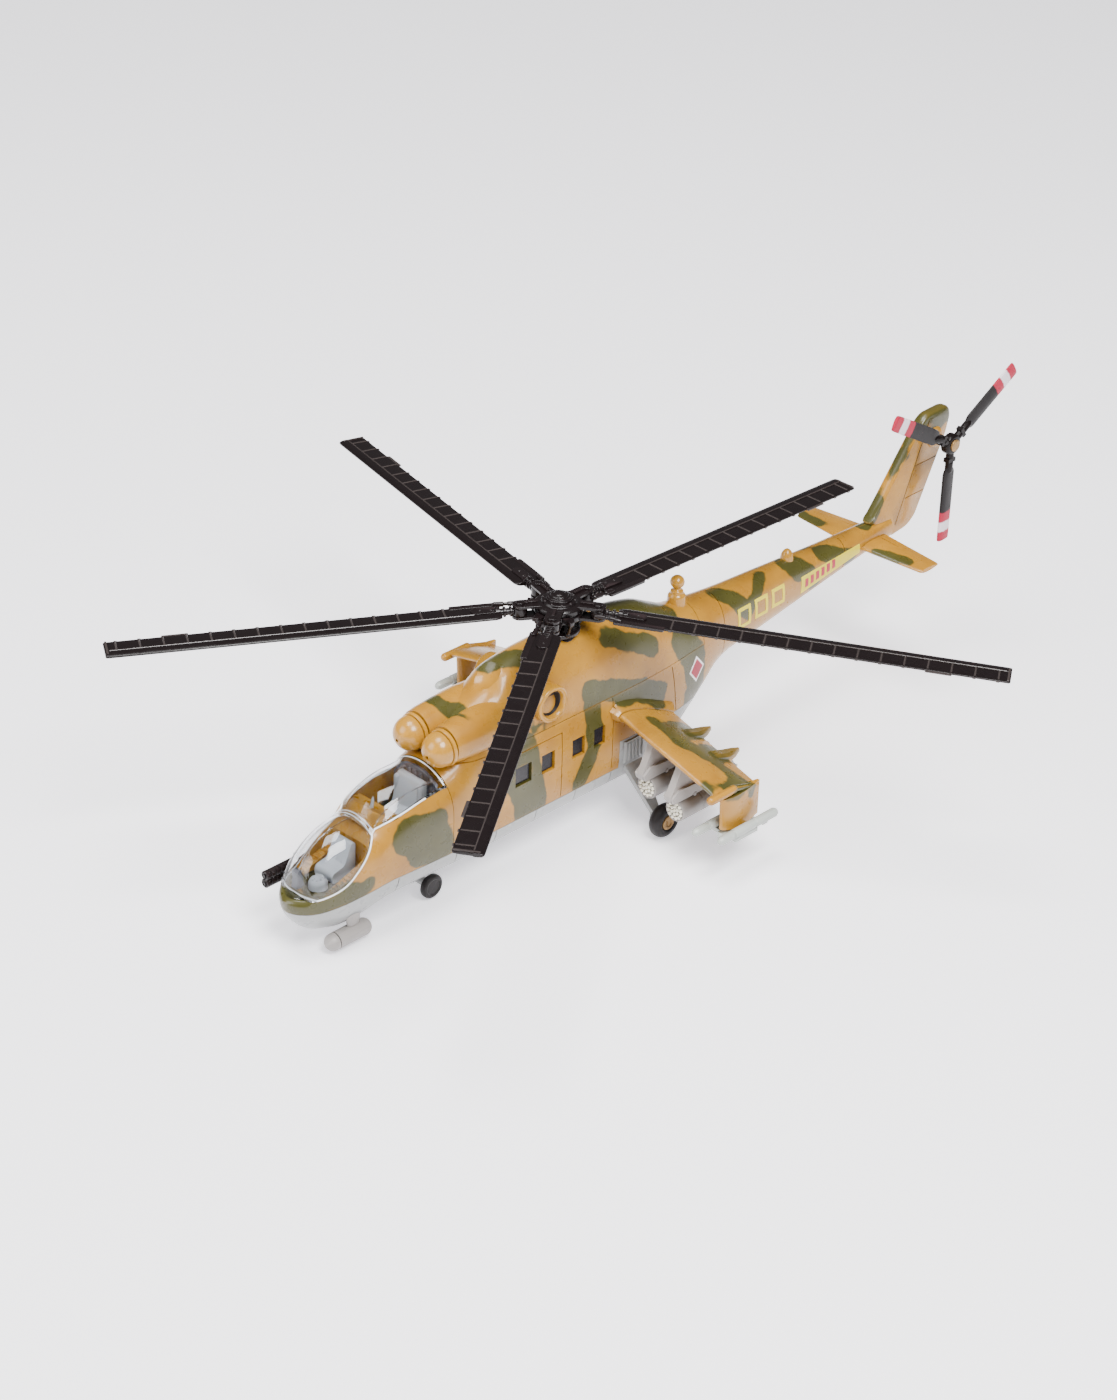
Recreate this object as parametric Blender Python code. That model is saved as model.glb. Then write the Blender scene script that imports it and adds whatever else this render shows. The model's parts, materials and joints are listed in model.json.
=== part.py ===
"""Snap-together toy attack helicopter, modelled as its separate mouldings.

Sizes are in millimetres in the toy's own standing frame: the wheels stand on
z = 0, the nose points to -Y and the port side is +X. MM turns them into metres.
The datum empty then puts the origin on the flat belly, under the main rotor.
"""

import math

import bmesh
import bpy
from mathutils import Matrix, Vector

MM = 0.001
GAP = 0.3                      # clearance between two mouldings that meet
HALF_GAP = 0.5 * GAP
WALL = 1.3                     # moulded wall
FAR = 400.0                    # reach of a cutting block
RING_POINTS = 24
FLAT_ANGLE = math.radians(0.2)   # facets this close to level are merged
SHARP_ANGLE = math.radians(32.0)

# Where the mouldings part
SEAM = ((-95.0, 12.0), (-86.0, 12.4), (-76.0, 13.4), (-65.0, 14.5), (60.0, 14.3))
BAY_SEAM_Z = 22.3              # the tray stands higher beside the wheel bays
BAY_FRONT_Y = 11.6
BAY_REAR_Y = 42.0
ROOF_Z = 36.7                  # engine cowling on the cabin roof
COCKPIT_REAR_Y = -47.0         # nose section against the cabin
COWLING_FRONT_Y = -42.6
COWLING_REAR_Y = 45.8
BELLY_Z = 8.0
BELLY_FLAT = 0.25              # the belly is planed flat by this much

# Cockpit
FRONT_FLOOR_Z = 15.6
REAR_FLOOR_Z = 20.5
CANOPY_WALL = 0.9

# Main rotor
ROTOR_Y = -0.5
ROTOR_Z = 61.6
ROTOR_TILT = -1.36             # the mast leans a little aft
ROTOR_RADIUS = 113.5
BLADE_ANGLES = {"a": 238.5, "b": 165.6, "c": 91.5, "d": 33.9, "e": 305.0}
BLADE_PIN_RADIUS = 10.0
BLADE_ROOT = 15.0
BLADE_LEAD = 3.3
BLADE_TRAIL = 3.7
BLADE_THICK = 1.1
BLADE_DROOP = 1.4
SWING_PIN = 0.7
MAST_RADIUS = 1.8
HEAD_RADIUS = 6.2
LUG_HALF_WIDTH = 2.0
LUG_IN_Z = 1.2                 # fork plates start this far from the disc plane
LUG_OUT_Z = 1.9
CUFF_RADIUS = 0.9

# Tail rotor
TAIL_AXIS_Y = 145.4
TAIL_AXIS_Z = 61.6
TAIL_ROTOR_X = 7.6
TAIL_RADIUS = 30.0
TAIL_CHORD = 4.6
TAIL_ANGLES = (30.4, 150.4, 270.4)
TAIL_SHAFT_RADIUS = 0.7
TAIL_HUB_RADIUS = 3.0

# Stub wings
WING_ROOT_X = 14.0
WING_TIP_X = 47.6
PYLON_X = {"inner": 24.0, "outer": 34.0}
POD_RADIUS = 3.15
POD_FRONT_Y = 8.8
POD_LENGTH = 24.0
POD_DROP = 14.2                # pod axis under the wing plane
SHOE_HALF = 1.7
PLATE_X = 47.9
PLATE_LOW_Z = 12.4
PLATE_TOP_Z = 22.4
TIP_BULB = (48.3, 0.0, 23.9)
MISSILES = (("inboard", 44.6, 4.2, 24.5), ("outboard", 51.6, 6.0, 27.6))
MISSILE_Z = 13.2
MISSILE_RADIUS = 1.25

# Landing gear
MAIN_WHEEL = (26.5, 13.3, 4.8)
MAIN_WHEEL_RADIUS = 4.8
MAIN_WHEEL_WIDTH = 3.8
MAIN_HUB_RADIUS = 2.1
NOSE_WHEEL = (6.3, -49.6, 3.3)
NOSE_WHEEL_RADIUS = 3.3
NOSE_WHEEL_WIDTH = 2.0
AXLE_RADIUS = 0.7
GUN_X = -11.4
GUN_BARREL_ZS = (15.3, 13.1)
GUN_BARREL_RADIUS = 1.3
CHIN_POD = (7.2, 0.0, 2.7)
CHIN_POD_RADIUS = 2.3

# Engine fittings
DOME = (5.2, -46.8, 41.3)
DOME_RADIUS = 4.5
DOME_EYE_RADIUS = 0.45
NACELLE_X = 5.1
NACELLE_Z = 41.7
NACELLE_FRONT_Y = -44.0
SCOOP_AXIS = (0.0, -29.6, 57.4)
SCOOP_RADIUS = 8.4
SCOOP_HALF_WIDTH = 7.4
EXHAUST_Y = -13.6
EXHAUST_Z = 43.8
EXHAUST_FACE_X = 12.2
EXHAUST_RADIUS = 5.0
EXHAUST_BORE = 3.6
EXHAUST_BACK_X = 7.4
DORSAL_BEACON_Y = 43.4
DORSAL_BEACON_Z = 47.7
BOOM_BEACON_Y = 87.1

# Cabin windows: centre y of each pane
WINDOW_YS = (-23.2, -14.5, -3.7, 3.9)
WINDOW_WIDTHS = (5.6, 4.6, 4.4, 4.0)
WINDOW_LOW_Z = 24.4
WINDOW_HIGH_Z = 29.8
PANE_BACK_X = 8.9
PANE_FACE_X = 10.9

# y, half width, bottom, widest height, top, lower power, upper power
BODY_STATIONS = (
    (-91.8, 1.2, 12.6, 14.2, 15.0, 2.0, 2.0),
    (-90.8, 3.3, 10.0, 14.2, 15.8, 2.0, 2.0),
    (-88.6, 5.6, 7.2, 14.5, 16.6, 2.1, 2.1),
    (-88.0, 6.0, 6.6, 14.6, 20.0, 2.1, 2.1),
    (-86.4, 6.9, 5.5, 14.8, 23.6, 2.2, 2.0),
    (-83.0, 8.1, 4.3, 15.2, 26.8, 2.3, 2.0),
    (-79.0, 9.0, 3.6, 16.0, 28.9, 2.4, 2.0),
    (-75.0, 9.6, 3.7, 17.0, 29.9, 2.4, 2.0),
    (-71.6, 10.0, 4.3, 18.4, 30.0, 2.5, 2.0),
    (-69.2, 10.2, 4.9, 19.6, 29.8, 2.6, 2.0),
    (-66.5, 10.5, 5.8, 21.0, 32.6, 2.8, 2.0),
    (-62.0, 10.9, 6.7, 22.5, 35.2, 3.2, 2.0),
    (-56.0, 11.2, 7.5, 23.5, 36.4, 3.8, 2.0),
    (-49.5, 11.5, 8.0, 24.5, 35.9, 4.4, 2.1),
    (-44.0, 11.6, 8.0, 25.0, 37.6, 4.8, 2.3),
    (-38.0, 11.6, 8.0, 25.0, 43.8, 4.8, 2.3),
    (-27.0, 11.6, 8.0, 25.5, 50.3, 4.8, 2.3),
    (-23.0, 11.6, 8.0, 25.5, 53.8, 4.8, 2.2),
    (-12.0, 11.6, 8.0, 25.5, 55.4, 4.8, 2.2),
    (4.0, 11.6, 8.0, 25.5, 55.8, 4.8, 2.2),
    (17.0, 11.6, 8.0, 25.5, 55.4, 4.8, 2.2),
    (26.0, 11.3, 9.0, 26.5, 53.8, 4.4, 2.1),
    (33.0, 10.8, 11.4, 27.8, 50.6, 3.8, 2.1),
    (40.0, 9.9, 15.0, 29.5, 47.4, 3.0, 2.1),
    (47.0, 8.8, 19.6, 31.5, 46.2, 2.6, 2.2),
    (54.0, 7.4, 24.2, 33.8, 45.4, 2.3, 2.2),
    (60.0, 6.5, 25.8, 34.8, 45.0, 2.2, 2.2),
    (73.0, 5.6, 27.5, 35.4, 44.5, 2.2, 2.2),
    (90.0, 4.7, 30.2, 36.4, 43.7, 2.2, 2.2),
    (106.0, 4.1, 32.8, 37.6, 42.9, 2.2, 2.2),
    (118.0, 3.6, 34.6, 38.4, 42.6, 2.2, 2.2),
    (129.0, 2.6, 35.6, 38.8, 42.2, 2.2, 2.2),
)

# Edge between the nose section and the clear canopy, as y and z
SILL = ((-95.0, 15.8), (-87.6, 15.8), (-80.0, 17.4), (-73.6, 22.6),
        (-68.0, 29.0), (-57.0, 31.6), (-40.0, 33.0))

# Tail fin and stabilisers
FIN_HALF = 1.75
FIN_EDGE_HALF = 0.9
FIN_CENTRE = (139.0, 54.0)
STABILISER_ROOT = ((114.0, 38.3), (125.8, 38.3))
STABILISER_TIP = ((117.4, 37.2), (125.0, 37.2))
STABILISER_TIP_X = 22.6
# Fin outline, as y and z
FIN_OUTLINE = ((119.6, 42.9), (121.0, 44.0), (125.0, 48.9), (139.8, 68.0),
               (142.0, 69.5), (149.6, 69.8), (151.6, 68.8), (152.1, 66.8),
               (150.8, 61.8), (139.6, 38.6), (136.6, 36.3), (130.0, 35.4))


# ------------------------------------------------------------ mesh helpers

def mesh_of(vertices, faces):
    """A closed, triangulated mesh with its faces out, from millimetres."""
    mesh = bpy.data.meshes.new("shape")
    work = bmesh.new()
    points = [work.verts.new(Vector(vertex) * MM) for vertex in vertices]
    for face in faces:
        work.faces.new([points[index] for index in face])
    bmesh.ops.triangulate(work, faces=work.faces[:])
    bmesh.ops.recalc_face_normals(work, faces=work.faces[:])
    work.to_mesh(mesh)
    work.free()
    return mesh


def loft(rings):
    """Join rings of equal length in order and close both ends."""
    count = len(rings[0])
    vertices = [point for ring in rings for point in ring]
    faces = []
    for row in range(len(rings) - 1):
        for column in range(count):
            after = (column + 1) % count
            faces.append((row * count + column, row * count + after,
                          (row + 1) * count + after, (row + 1) * count + column))
    faces.append(tuple(range(count)))
    last = (len(rings) - 1) * count
    faces.append(tuple(last + column for column in range(count)))
    return mesh_of(vertices, faces)


def on_axis(axis, along, first, second):
    """Place a point by its distance along an axis and its two other values."""
    if axis == "X":
        return (along, first, second)
    if axis == "Y":
        return (first, along, second)
    return (first, second, along)


def lathe(axis, centre, profile, segments=14):
    """Turn (along, radius) pairs round an axis through centre."""
    rings = []
    for along, radius in profile:
        ring = []
        for step in range(segments):
            angle = 2.0 * math.pi * (step + 0.5) / segments
            point = on_axis(axis, along, radius * math.cos(angle), radius * math.sin(angle))
            ring.append(tuple(a + b for a, b in zip(point, centre)))
        rings.append(ring)
    return loft(rings)


def box(low, high):
    """A block between two corners."""
    corners = [(x, y, z) for x in (low[0], high[0]) for y in (low[1], high[1])
               for z in (low[2], high[2])]
    faces = ((0, 1, 3, 2), (4, 6, 7, 5), (0, 4, 5, 1),
             (2, 3, 7, 6), (0, 2, 6, 4), (1, 5, 7, 3))
    return mesh_of(corners, faces)


def prism(axis, outline, low, high):
    """Extrude an outline along an axis from low to high."""
    return loft([[on_axis(axis, along, first, second) for first, second in outline]
                 for along in (low, high)])


def combine(base, other, operation):
    """Boolean of two meshes with the exact solver; both are used up."""
    target = bpy.data.objects.new("target", base)
    tool = bpy.data.objects.new("tool", other)
    for item in (target, tool):
        bpy.context.collection.objects.link(item)
    modifier = target.modifiers.new("cut", "BOOLEAN")
    modifier.operation = operation
    modifier.solver = "EXACT"
    modifier.object = tool
    graph = bpy.context.evaluated_depsgraph_get()
    result = bpy.data.meshes.new_from_object(target.evaluated_get(graph))
    for item in (target, tool):
        bpy.data.objects.remove(item)
    work = bmesh.new()
    work.from_mesh(result)
    bmesh.ops.remove_doubles(work, verts=work.verts[:], dist=0.00001)
    bmesh.ops.dissolve_degenerate(work, edges=work.edges[:], dist=0.000005)
    bmesh.ops.dissolve_limit(work, angle_limit=FLAT_ANGLE, verts=work.verts[:], edges=work.edges[:])
    bmesh.ops.triangulate(work, faces=work.faces[:])
    work.to_mesh(result)
    work.free()
    return result


def cut(base, *tools):
    """Take each tool away from base."""
    for tool in tools:
        base = combine(base, tool, "DIFFERENCE")
    return base


def join(base, *others):
    """Fuse other shapes onto base."""
    for other in others:
        base = combine(base, other, "UNION")
    return base


def keep(base, region):
    """Keep what lies inside a region."""
    return combine(base, region, "INTERSECT")


def mirrored(mesh):
    """The same shape on the other side of the centre plane."""
    copy = mesh.copy()
    copy.transform(Matrix.Scale(-1.0, 4, Vector((1.0, 0.0, 0.0))))
    copy.flip_normals()
    return copy


def finish(name, colour, roughness, metallic=0.0, alpha=1.0):
    """A Principled material for one moulding."""
    material = bpy.data.materials.new(name)
    material.use_nodes = True
    shader = material.node_tree.nodes["Principled BSDF"]
    shader.inputs["Base Color"].default_value = (*colour, 1.0)
    shader.inputs["Roughness"].default_value = roughness
    shader.inputs["Metallic"].default_value = metallic
    shader.inputs["Alpha"].default_value = alpha
    return material


def add(name, mesh, look, parent, place=(0.0, 0.0, 0.0), turn=0.0):
    """Add one moulding, its material and its place under a parent."""
    mesh.name = name
    mesh.materials.clear()
    mesh.materials.append(finish(name + "_finish", *look))
    mesh.shade_smooth()
    mesh.set_sharp_from_angle(angle=SHARP_ANGLE)
    item = bpy.data.objects.new(name, mesh)
    bpy.context.collection.objects.link(item)
    item.parent = parent
    item.location = Vector(place) * MM
    item.rotation_euler = (0.0, 0.0, math.radians(turn))
    return item


def pair(name, mesh, look, parent, place=(0.0, 0.0, 0.0)):
    """Add a port moulding and its starboard mirror image."""
    add(name + "_right", mirrored(mesh), look, parent, (-place[0], place[1], place[2]))
    add(name + "_left", mesh, look, parent, place)


def empty(name, parent=None, place=(0.0, 0.0, 0.0)):
    """A guide point that carries a group of mouldings."""
    item = bpy.data.objects.new(name, None)
    bpy.context.collection.objects.link(item)
    item.parent = parent
    item.location = Vector(place) * MM
    return item


TAN = ((0.56, 0.28, 0.06), 0.3)
GREEN = ((0.12, 0.105, 0.043), 0.32)
GREY = ((0.5, 0.5, 0.48), 0.38)
POD_GREY = ((0.48, 0.45, 0.42), 0.4)
PALE = ((0.68, 0.7, 0.65), 0.4)
BLACK = ((0.02, 0.016, 0.016), 0.28)
RUBBER = ((0.02, 0.018, 0.018), 0.7)
GOLD = ((0.32, 0.2, 0.07), 0.32, 0.8)
SMOKE = ((0.02, 0.02, 0.024), 0.15)
CLEAR = ((0.9, 0.92, 0.94), 0.04, 0.0, 0.25)


# ------------------------------------------------------------ body shapes

def body_ring(station, inset=0.0):
    """Cross section of the body at one station, drawn in by inset."""
    y, half_width, bottom, widest, top, low_power, high_power = station
    width = max(half_width - inset, 0.4)
    depth = max(widest - bottom - inset, 0.4)
    height = max(top - widest - inset, 0.4)
    floor = bottom + inset + (BELLY_FLAT if bottom == BELLY_Z else 0.0)
    ring = []
    for step in range(RING_POINTS):
        angle = 2.0 * math.pi * step / RING_POINTS
        across = math.cos(angle)
        up = math.sin(angle)
        power = 2.0 / (high_power if up >= 0.0 else low_power)
        x = math.copysign(abs(across) ** power, across) * width
        z = widest + math.copysign(abs(up) ** power, up) * (height if up >= 0.0 else depth)
        ring.append((x, y, max(z, floor)))
    return ring


def body_form(inset=0.0, front=-FAR, rear=FAR):
    """The whole outer form, or its inner offset between two stations."""
    chosen = [station for station in BODY_STATIONS if front <= station[0] <= rear]
    return loft([body_ring(station, inset) for station in chosen])


def half_space(x=(-FAR, FAR), y=(-FAR, FAR), z=(-FAR, FAR)):
    """A cutting block between limits."""
    return box((x[0], y[0], z[0]), (x[1], y[1], z[1]))


def seam_region(drop, rear):
    """Everything under the seam of the belly tray, lowered by drop, up to rear."""
    outline = [(y, z - drop) for y, z in SEAM if y < rear]
    outline += [(rear, SEAM[-1][1] - drop), (rear, -FAR), (SEAM[0][0], -FAR)]
    return prism("X", outline, -FAR, FAR)


def sill_region(drop):
    """Everything above the canopy edge, lowered by drop."""
    outline = [(y, z - drop) for y, z in SILL]
    outline += [(SILL[-1][0], 80.0), (SILL[0][0], 80.0)]
    return prism("X", outline, -FAR, FAR)


def airfoil(chord_start, chord_end, thickness, grow=0.0, points=5):
    """Outline of a wing section in (y, z), nose first, with a blunt tail."""
    start = Vector(chord_start)
    end = Vector(chord_end)
    along = (end - start).normalized()
    across = Vector((-along.y, along.x))
    if across.y < 0.0:
        across = -across
    length = (end - start).length
    upper = []
    lower = []
    for step in range(points + 1):
        share = 1.0 - math.cos(0.5 * math.pi * step / points)
        half = 0.5 * thickness * (2.6 * math.sqrt(share) * (1.0 - share) + 0.22 * share) + grow
        place = start + along * (share * length)
        if step == 0:
            place = place - along * grow
            half = 0.5 * half if grow else 0.0
        if step == points:
            place = place + along * grow
        if half == 0.0:
            upper.append(tuple(place))
            continue
        upper.append(tuple(place + across * half))
        lower.append(tuple(place - across * half))
    return upper + lower[::-1]


def wing_edges(x):
    """Leading edge, trailing edge (both y and z) and share of the span at x."""
    share = (x - 13.0) / 35.0
    return ((8.6 - 1.5 * share, 32.2 - 7.5 * share), (29.0 - 4.6 * share, 24.8 - 4.5 * share), share)


def wing_section(x, grow=0.0):
    """Section of the port wing at x."""
    lead, trail, share = wing_edges(x)
    outline = airfoil(lead, trail, 3.4 - 0.9 * share, grow)
    return [(x, y, z) for y, z in outline]


def wing_solid(low, high, grow=0.0):
    """The wing between two stations."""
    return loft([wing_section(x, grow) for x in (low, high)])


def capsule(axis, centre, low, high, radius, segments=12, rounds=3):
    """A round-ended bar along an axis."""
    profile = []
    for step in range(1, rounds + 1):
        angle = 0.5 * math.pi * step / rounds
        profile.append((low + radius * (1.0 - math.cos(angle)), radius * math.sin(angle)))
    for step in range(rounds, 0, -1):
        angle = 0.5 * math.pi * step / rounds
        profile.append((high - radius * (1.0 - math.cos(angle)), radius * math.sin(angle)))
    return lathe(axis, centre, profile, segments)


# ------------------------------------------------------------ airframe

def add_belly_tray(datum):
    """Grey lower moulding from the nose to the rear ramp."""
    low = seam_region(HALF_GAP, BAY_FRONT_Y + 1.0)
    high = half_space(z=(-FAR, BAY_SEAM_Z - HALF_GAP), y=(BAY_FRONT_Y + HALF_GAP, BAY_REAR_Y))
    tray = keep(body_form(), join(low, high))
    hollow = body_form(WALL, -83.0, 41.0)
    add("belly_tray", cut(tray, hollow), GREY, datum)


def add_fuselage(datum):
    """Painted left and right shells with the tail boom."""
    shell = keep(body_form(), half_space(y=(COCKPIT_REAR_Y + HALF_GAP, FAR)))
    shell = cut(shell,
                seam_region(-HALF_GAP, BAY_FRONT_Y + 1.0),
                half_space(y=(BAY_FRONT_Y - HALF_GAP, BAY_REAR_Y + GAP),
                           z=(-FAR, BAY_SEAM_Z + HALF_GAP)),
                half_space(y=(-FAR, COWLING_REAR_Y), z=(ROOF_Z - HALF_GAP, FAR)))
    cabin_hollow = keep(body_form(WALL, -44.0, 42.0), half_space(z=(-FAR, ROOF_Z - WALL)))
    boom_hollow = body_form(WALL, 47.0, 118.0)
    shell = cut(shell, cabin_hollow, boom_hollow)
    root = loft([wing_section(x, grow) for x, grow in
                 ((9.6, 1.4), (11.6, 1.1), (WING_ROOT_X - GAP, 0.5))])
    left = keep(shell.copy(), half_space(x=(HALF_GAP, FAR)))
    left = join(left, root)
    for centre, width in zip(WINDOW_YS, WINDOW_WIDTHS):
        left = cut(left, box((8.0, centre - 0.5 * width, WINDOW_LOW_Z),
                             (14.0, centre + 0.5 * width, WINDOW_HIGH_Z)))
    left = cut(left, box((-2.0, 117.0, 38.0), (1.9, 121.0, 45.0)))
    pair("fuselage", left, TAN, datum)
    plate = box((PANE_BACK_X, -27.6, WINDOW_LOW_Z - 1.2), (PANE_BACK_X + 0.8, 7.4, WINDOW_HIGH_Z + 1.0))
    for centre, width in zip(WINDOW_YS, WINDOW_WIDTHS):
        plate = join(plate, box((PANE_BACK_X + 0.6, centre - 0.5 * width + GAP, WINDOW_LOW_Z + GAP),
                                (PANE_FACE_X, centre + 0.5 * width - GAP, WINDOW_HIGH_Z - GAP)))
    pair("cabin_windows", plate, SMOKE, datum)


def add_nose(datum):
    """Nose section with both cockpit tubs, its canopy, seats and console."""
    nose = keep(body_form(), half_space(y=(-FAR, COCKPIT_REAR_Y - HALF_GAP)))
    nose = cut(nose, sill_region(HALF_GAP), seam_region(-HALF_GAP, 0.0))
    front_tub = prism("Z", ((-6.9, -71.6), (6.9, -71.6), (6.6, -80.0), (4.6, -85.6),
                            (-4.6, -85.6), (-6.6, -80.0)), FRONT_FLOOR_Z, FAR)
    rear_tub = prism("Z", ((-8.0, -49.2), (8.0, -49.2), (7.6, -64.2), (-7.6, -64.2)),
                     REAR_FLOOR_Z, FAR)
    nose = cut(nose, front_tub, rear_tub)
    hood = prism("X", ((-69.2, 27.0), (-65.0, 26.0), (-65.0, 31.8), (-66.2, 32.2), (-67.4, 31.2)),
                 -5.4, 5.4)
    hood = keep(hood, body_form(CANOPY_WALL + GAP, -83.0, -49.0))
    add("cockpit_nose", join(nose, hood), TAN, datum)
    canopy = keep(body_form(), half_space(y=(-FAR, COCKPIT_REAR_Y - HALF_GAP)))
    canopy = keep(canopy, sill_region(-HALF_GAP))
    add("canopy", cut(canopy, body_form(CANOPY_WALL, -86.5, -43.0)), CLEAR, datum)
    floor = FRONT_FLOOR_Z + GAP
    gunner = prism("X", ((-78.2, floor), (-72.2, floor), (-72.2, floor + 9.4), (-74.0, floor + 9.4),
                         (-75.0, floor + 3.4), (-78.2, floor + 3.0)), -3.4, 3.4)
    add("gunner_seat", gunner, GREY, datum)
    console = prism("X", ((-83.6, floor), (-80.2, floor), (-80.2, floor + 4.4), (-82.4, floor + 4.4)),
                    -2.6, 2.6)
    add("gunner_console", console, POD_GREY, datum)
    floor = REAR_FLOOR_Z + GAP
    pilot = prism("X", ((-58.4, floor), (-50.0, floor), (-49.6, floor + 11.4), (-51.6, floor + 11.4),
                        (-53.0, floor + 3.6), (-58.4, floor + 3.2)), -4.2, 4.2)
    add("pilot_seat", pilot, GREY, datum)


def add_cowling(datum):
    """Engine cowling with fan scoop, intake domes, exhausts and beacons."""
    cowling = keep(body_form(), half_space(y=(COWLING_FRONT_Y, COWLING_REAR_Y - GAP),
                                           z=(ROOF_Z - 5.0, FAR)))
    for side in (1.0, -1.0):
        cowling = join(cowling, lathe("Y", (NACELLE_X * side, 0.0, NACELLE_Z),
                                      ((NACELLE_FRONT_Y, 4.9), (-38.0, 5.5), (-30.0, 6.0), (-22.0, 5.6)), 16))
    cowling = keep(cowling, half_space(z=(ROOF_Z + HALF_GAP, FAR)))
    scoop = lathe("X", SCOOP_AXIS,
                  [(SCOOP_HALF_WIDTH * math.sin(math.radians(lean)),
                    SCOOP_RADIUS * math.cos(math.radians(lean)))
                   for lean in range(-75, 76, 25)], 18)
    hollow = keep(body_form(WALL + 0.3, -27.0, 41.0), half_space(z=(ROOF_Z - 2.0, 53.0)))
    cowling = cut(cowling, scoop, hollow,
                  lathe("Z", (0.0, ROTOR_Y, 0.0), ((40.0, MAST_RADIUS + 0.8), (70.0, MAST_RADIUS + 0.8)), 12))
    for side in (1.0, -1.0):
        recess = lathe("X", (0.0, EXHAUST_Y, EXHAUST_Z),
                       ((side * EXHAUST_BACK_X, EXHAUST_RADIUS + GAP),
                        (side * 20.0, EXHAUST_RADIUS + GAP)), 16)
        cowling = cut(cowling, recess)
    add("engine_cowling", cowling, TAN, datum)
    dome = lathe("Y", DOME, [(0.8 - DOME_RADIUS * math.cos(math.radians(lean)),
                              DOME_RADIUS * math.sin(math.radians(lean)))
                             for lean in (12, 30, 50, 70, 88)] +
                 [(0.9, 4.15), (1.15, 4.15), (1.2, 4.7), (2.5, 4.85)], 16)
    eye = lathe("Y", (DOME[0], DOME[1] + 0.8, DOME[2]),
                ((-DOME_RADIUS - 1.0, DOME_EYE_RADIUS), (-DOME_RADIUS + 1.6, DOME_EYE_RADIUS)), 6)
    pair("intake_dome", cut(dome, eye), TAN, datum)
    pipe = lathe("X", (0.0, EXHAUST_Y, EXHAUST_Z),
                 ((EXHAUST_BACK_X + GAP, EXHAUST_RADIUS - 0.5), (EXHAUST_FACE_X - 1.2, EXHAUST_RADIUS),
                  (EXHAUST_FACE_X - 0.3, EXHAUST_RADIUS), (EXHAUST_FACE_X, EXHAUST_RADIUS - 0.4)), 16)
    bore = lathe("X", (0.0, EXHAUST_Y, EXHAUST_Z),
                 ((8.6, EXHAUST_BORE - 0.6), (EXHAUST_FACE_X + 1.0, EXHAUST_BORE + 0.1)), 16)
    pair("exhaust_pipe", cut(pipe, bore), TAN, datum)
    base = DORSAL_BEACON_Z
    stalk = lathe("Z", (0.0, DORSAL_BEACON_Y, 0.0),
                  ((base - 0.6, 2.5), (base + 0.8, 2.4), (base + 1.6, 1.9), (base + 2.4, 1.9),
                   (base + 2.9, 1.1), (base + 3.5, 1.1), (base + 3.9, 1.6), (base + 4.9, 1.95),
                   (base + 5.9, 1.7), (base + 6.6, 1.0), (base + 6.9, 0.3)), 12)
    add("dorsal_beacon", cut(stalk, body_form(-GAP, 34.0, 60.0)), TAN, datum)
    bead = lathe("Z", (0.0, BOOM_BEACON_Y, 0.0),
                 ((43.0, 1.9), (44.4, 1.8), (45.6, 1.5), (46.5, 0.9), (46.8, 0.3)), 10)
    add("boom_beacon", cut(bead, body_form(-GAP, 73.0, 118.0)), TAN, datum)


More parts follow.
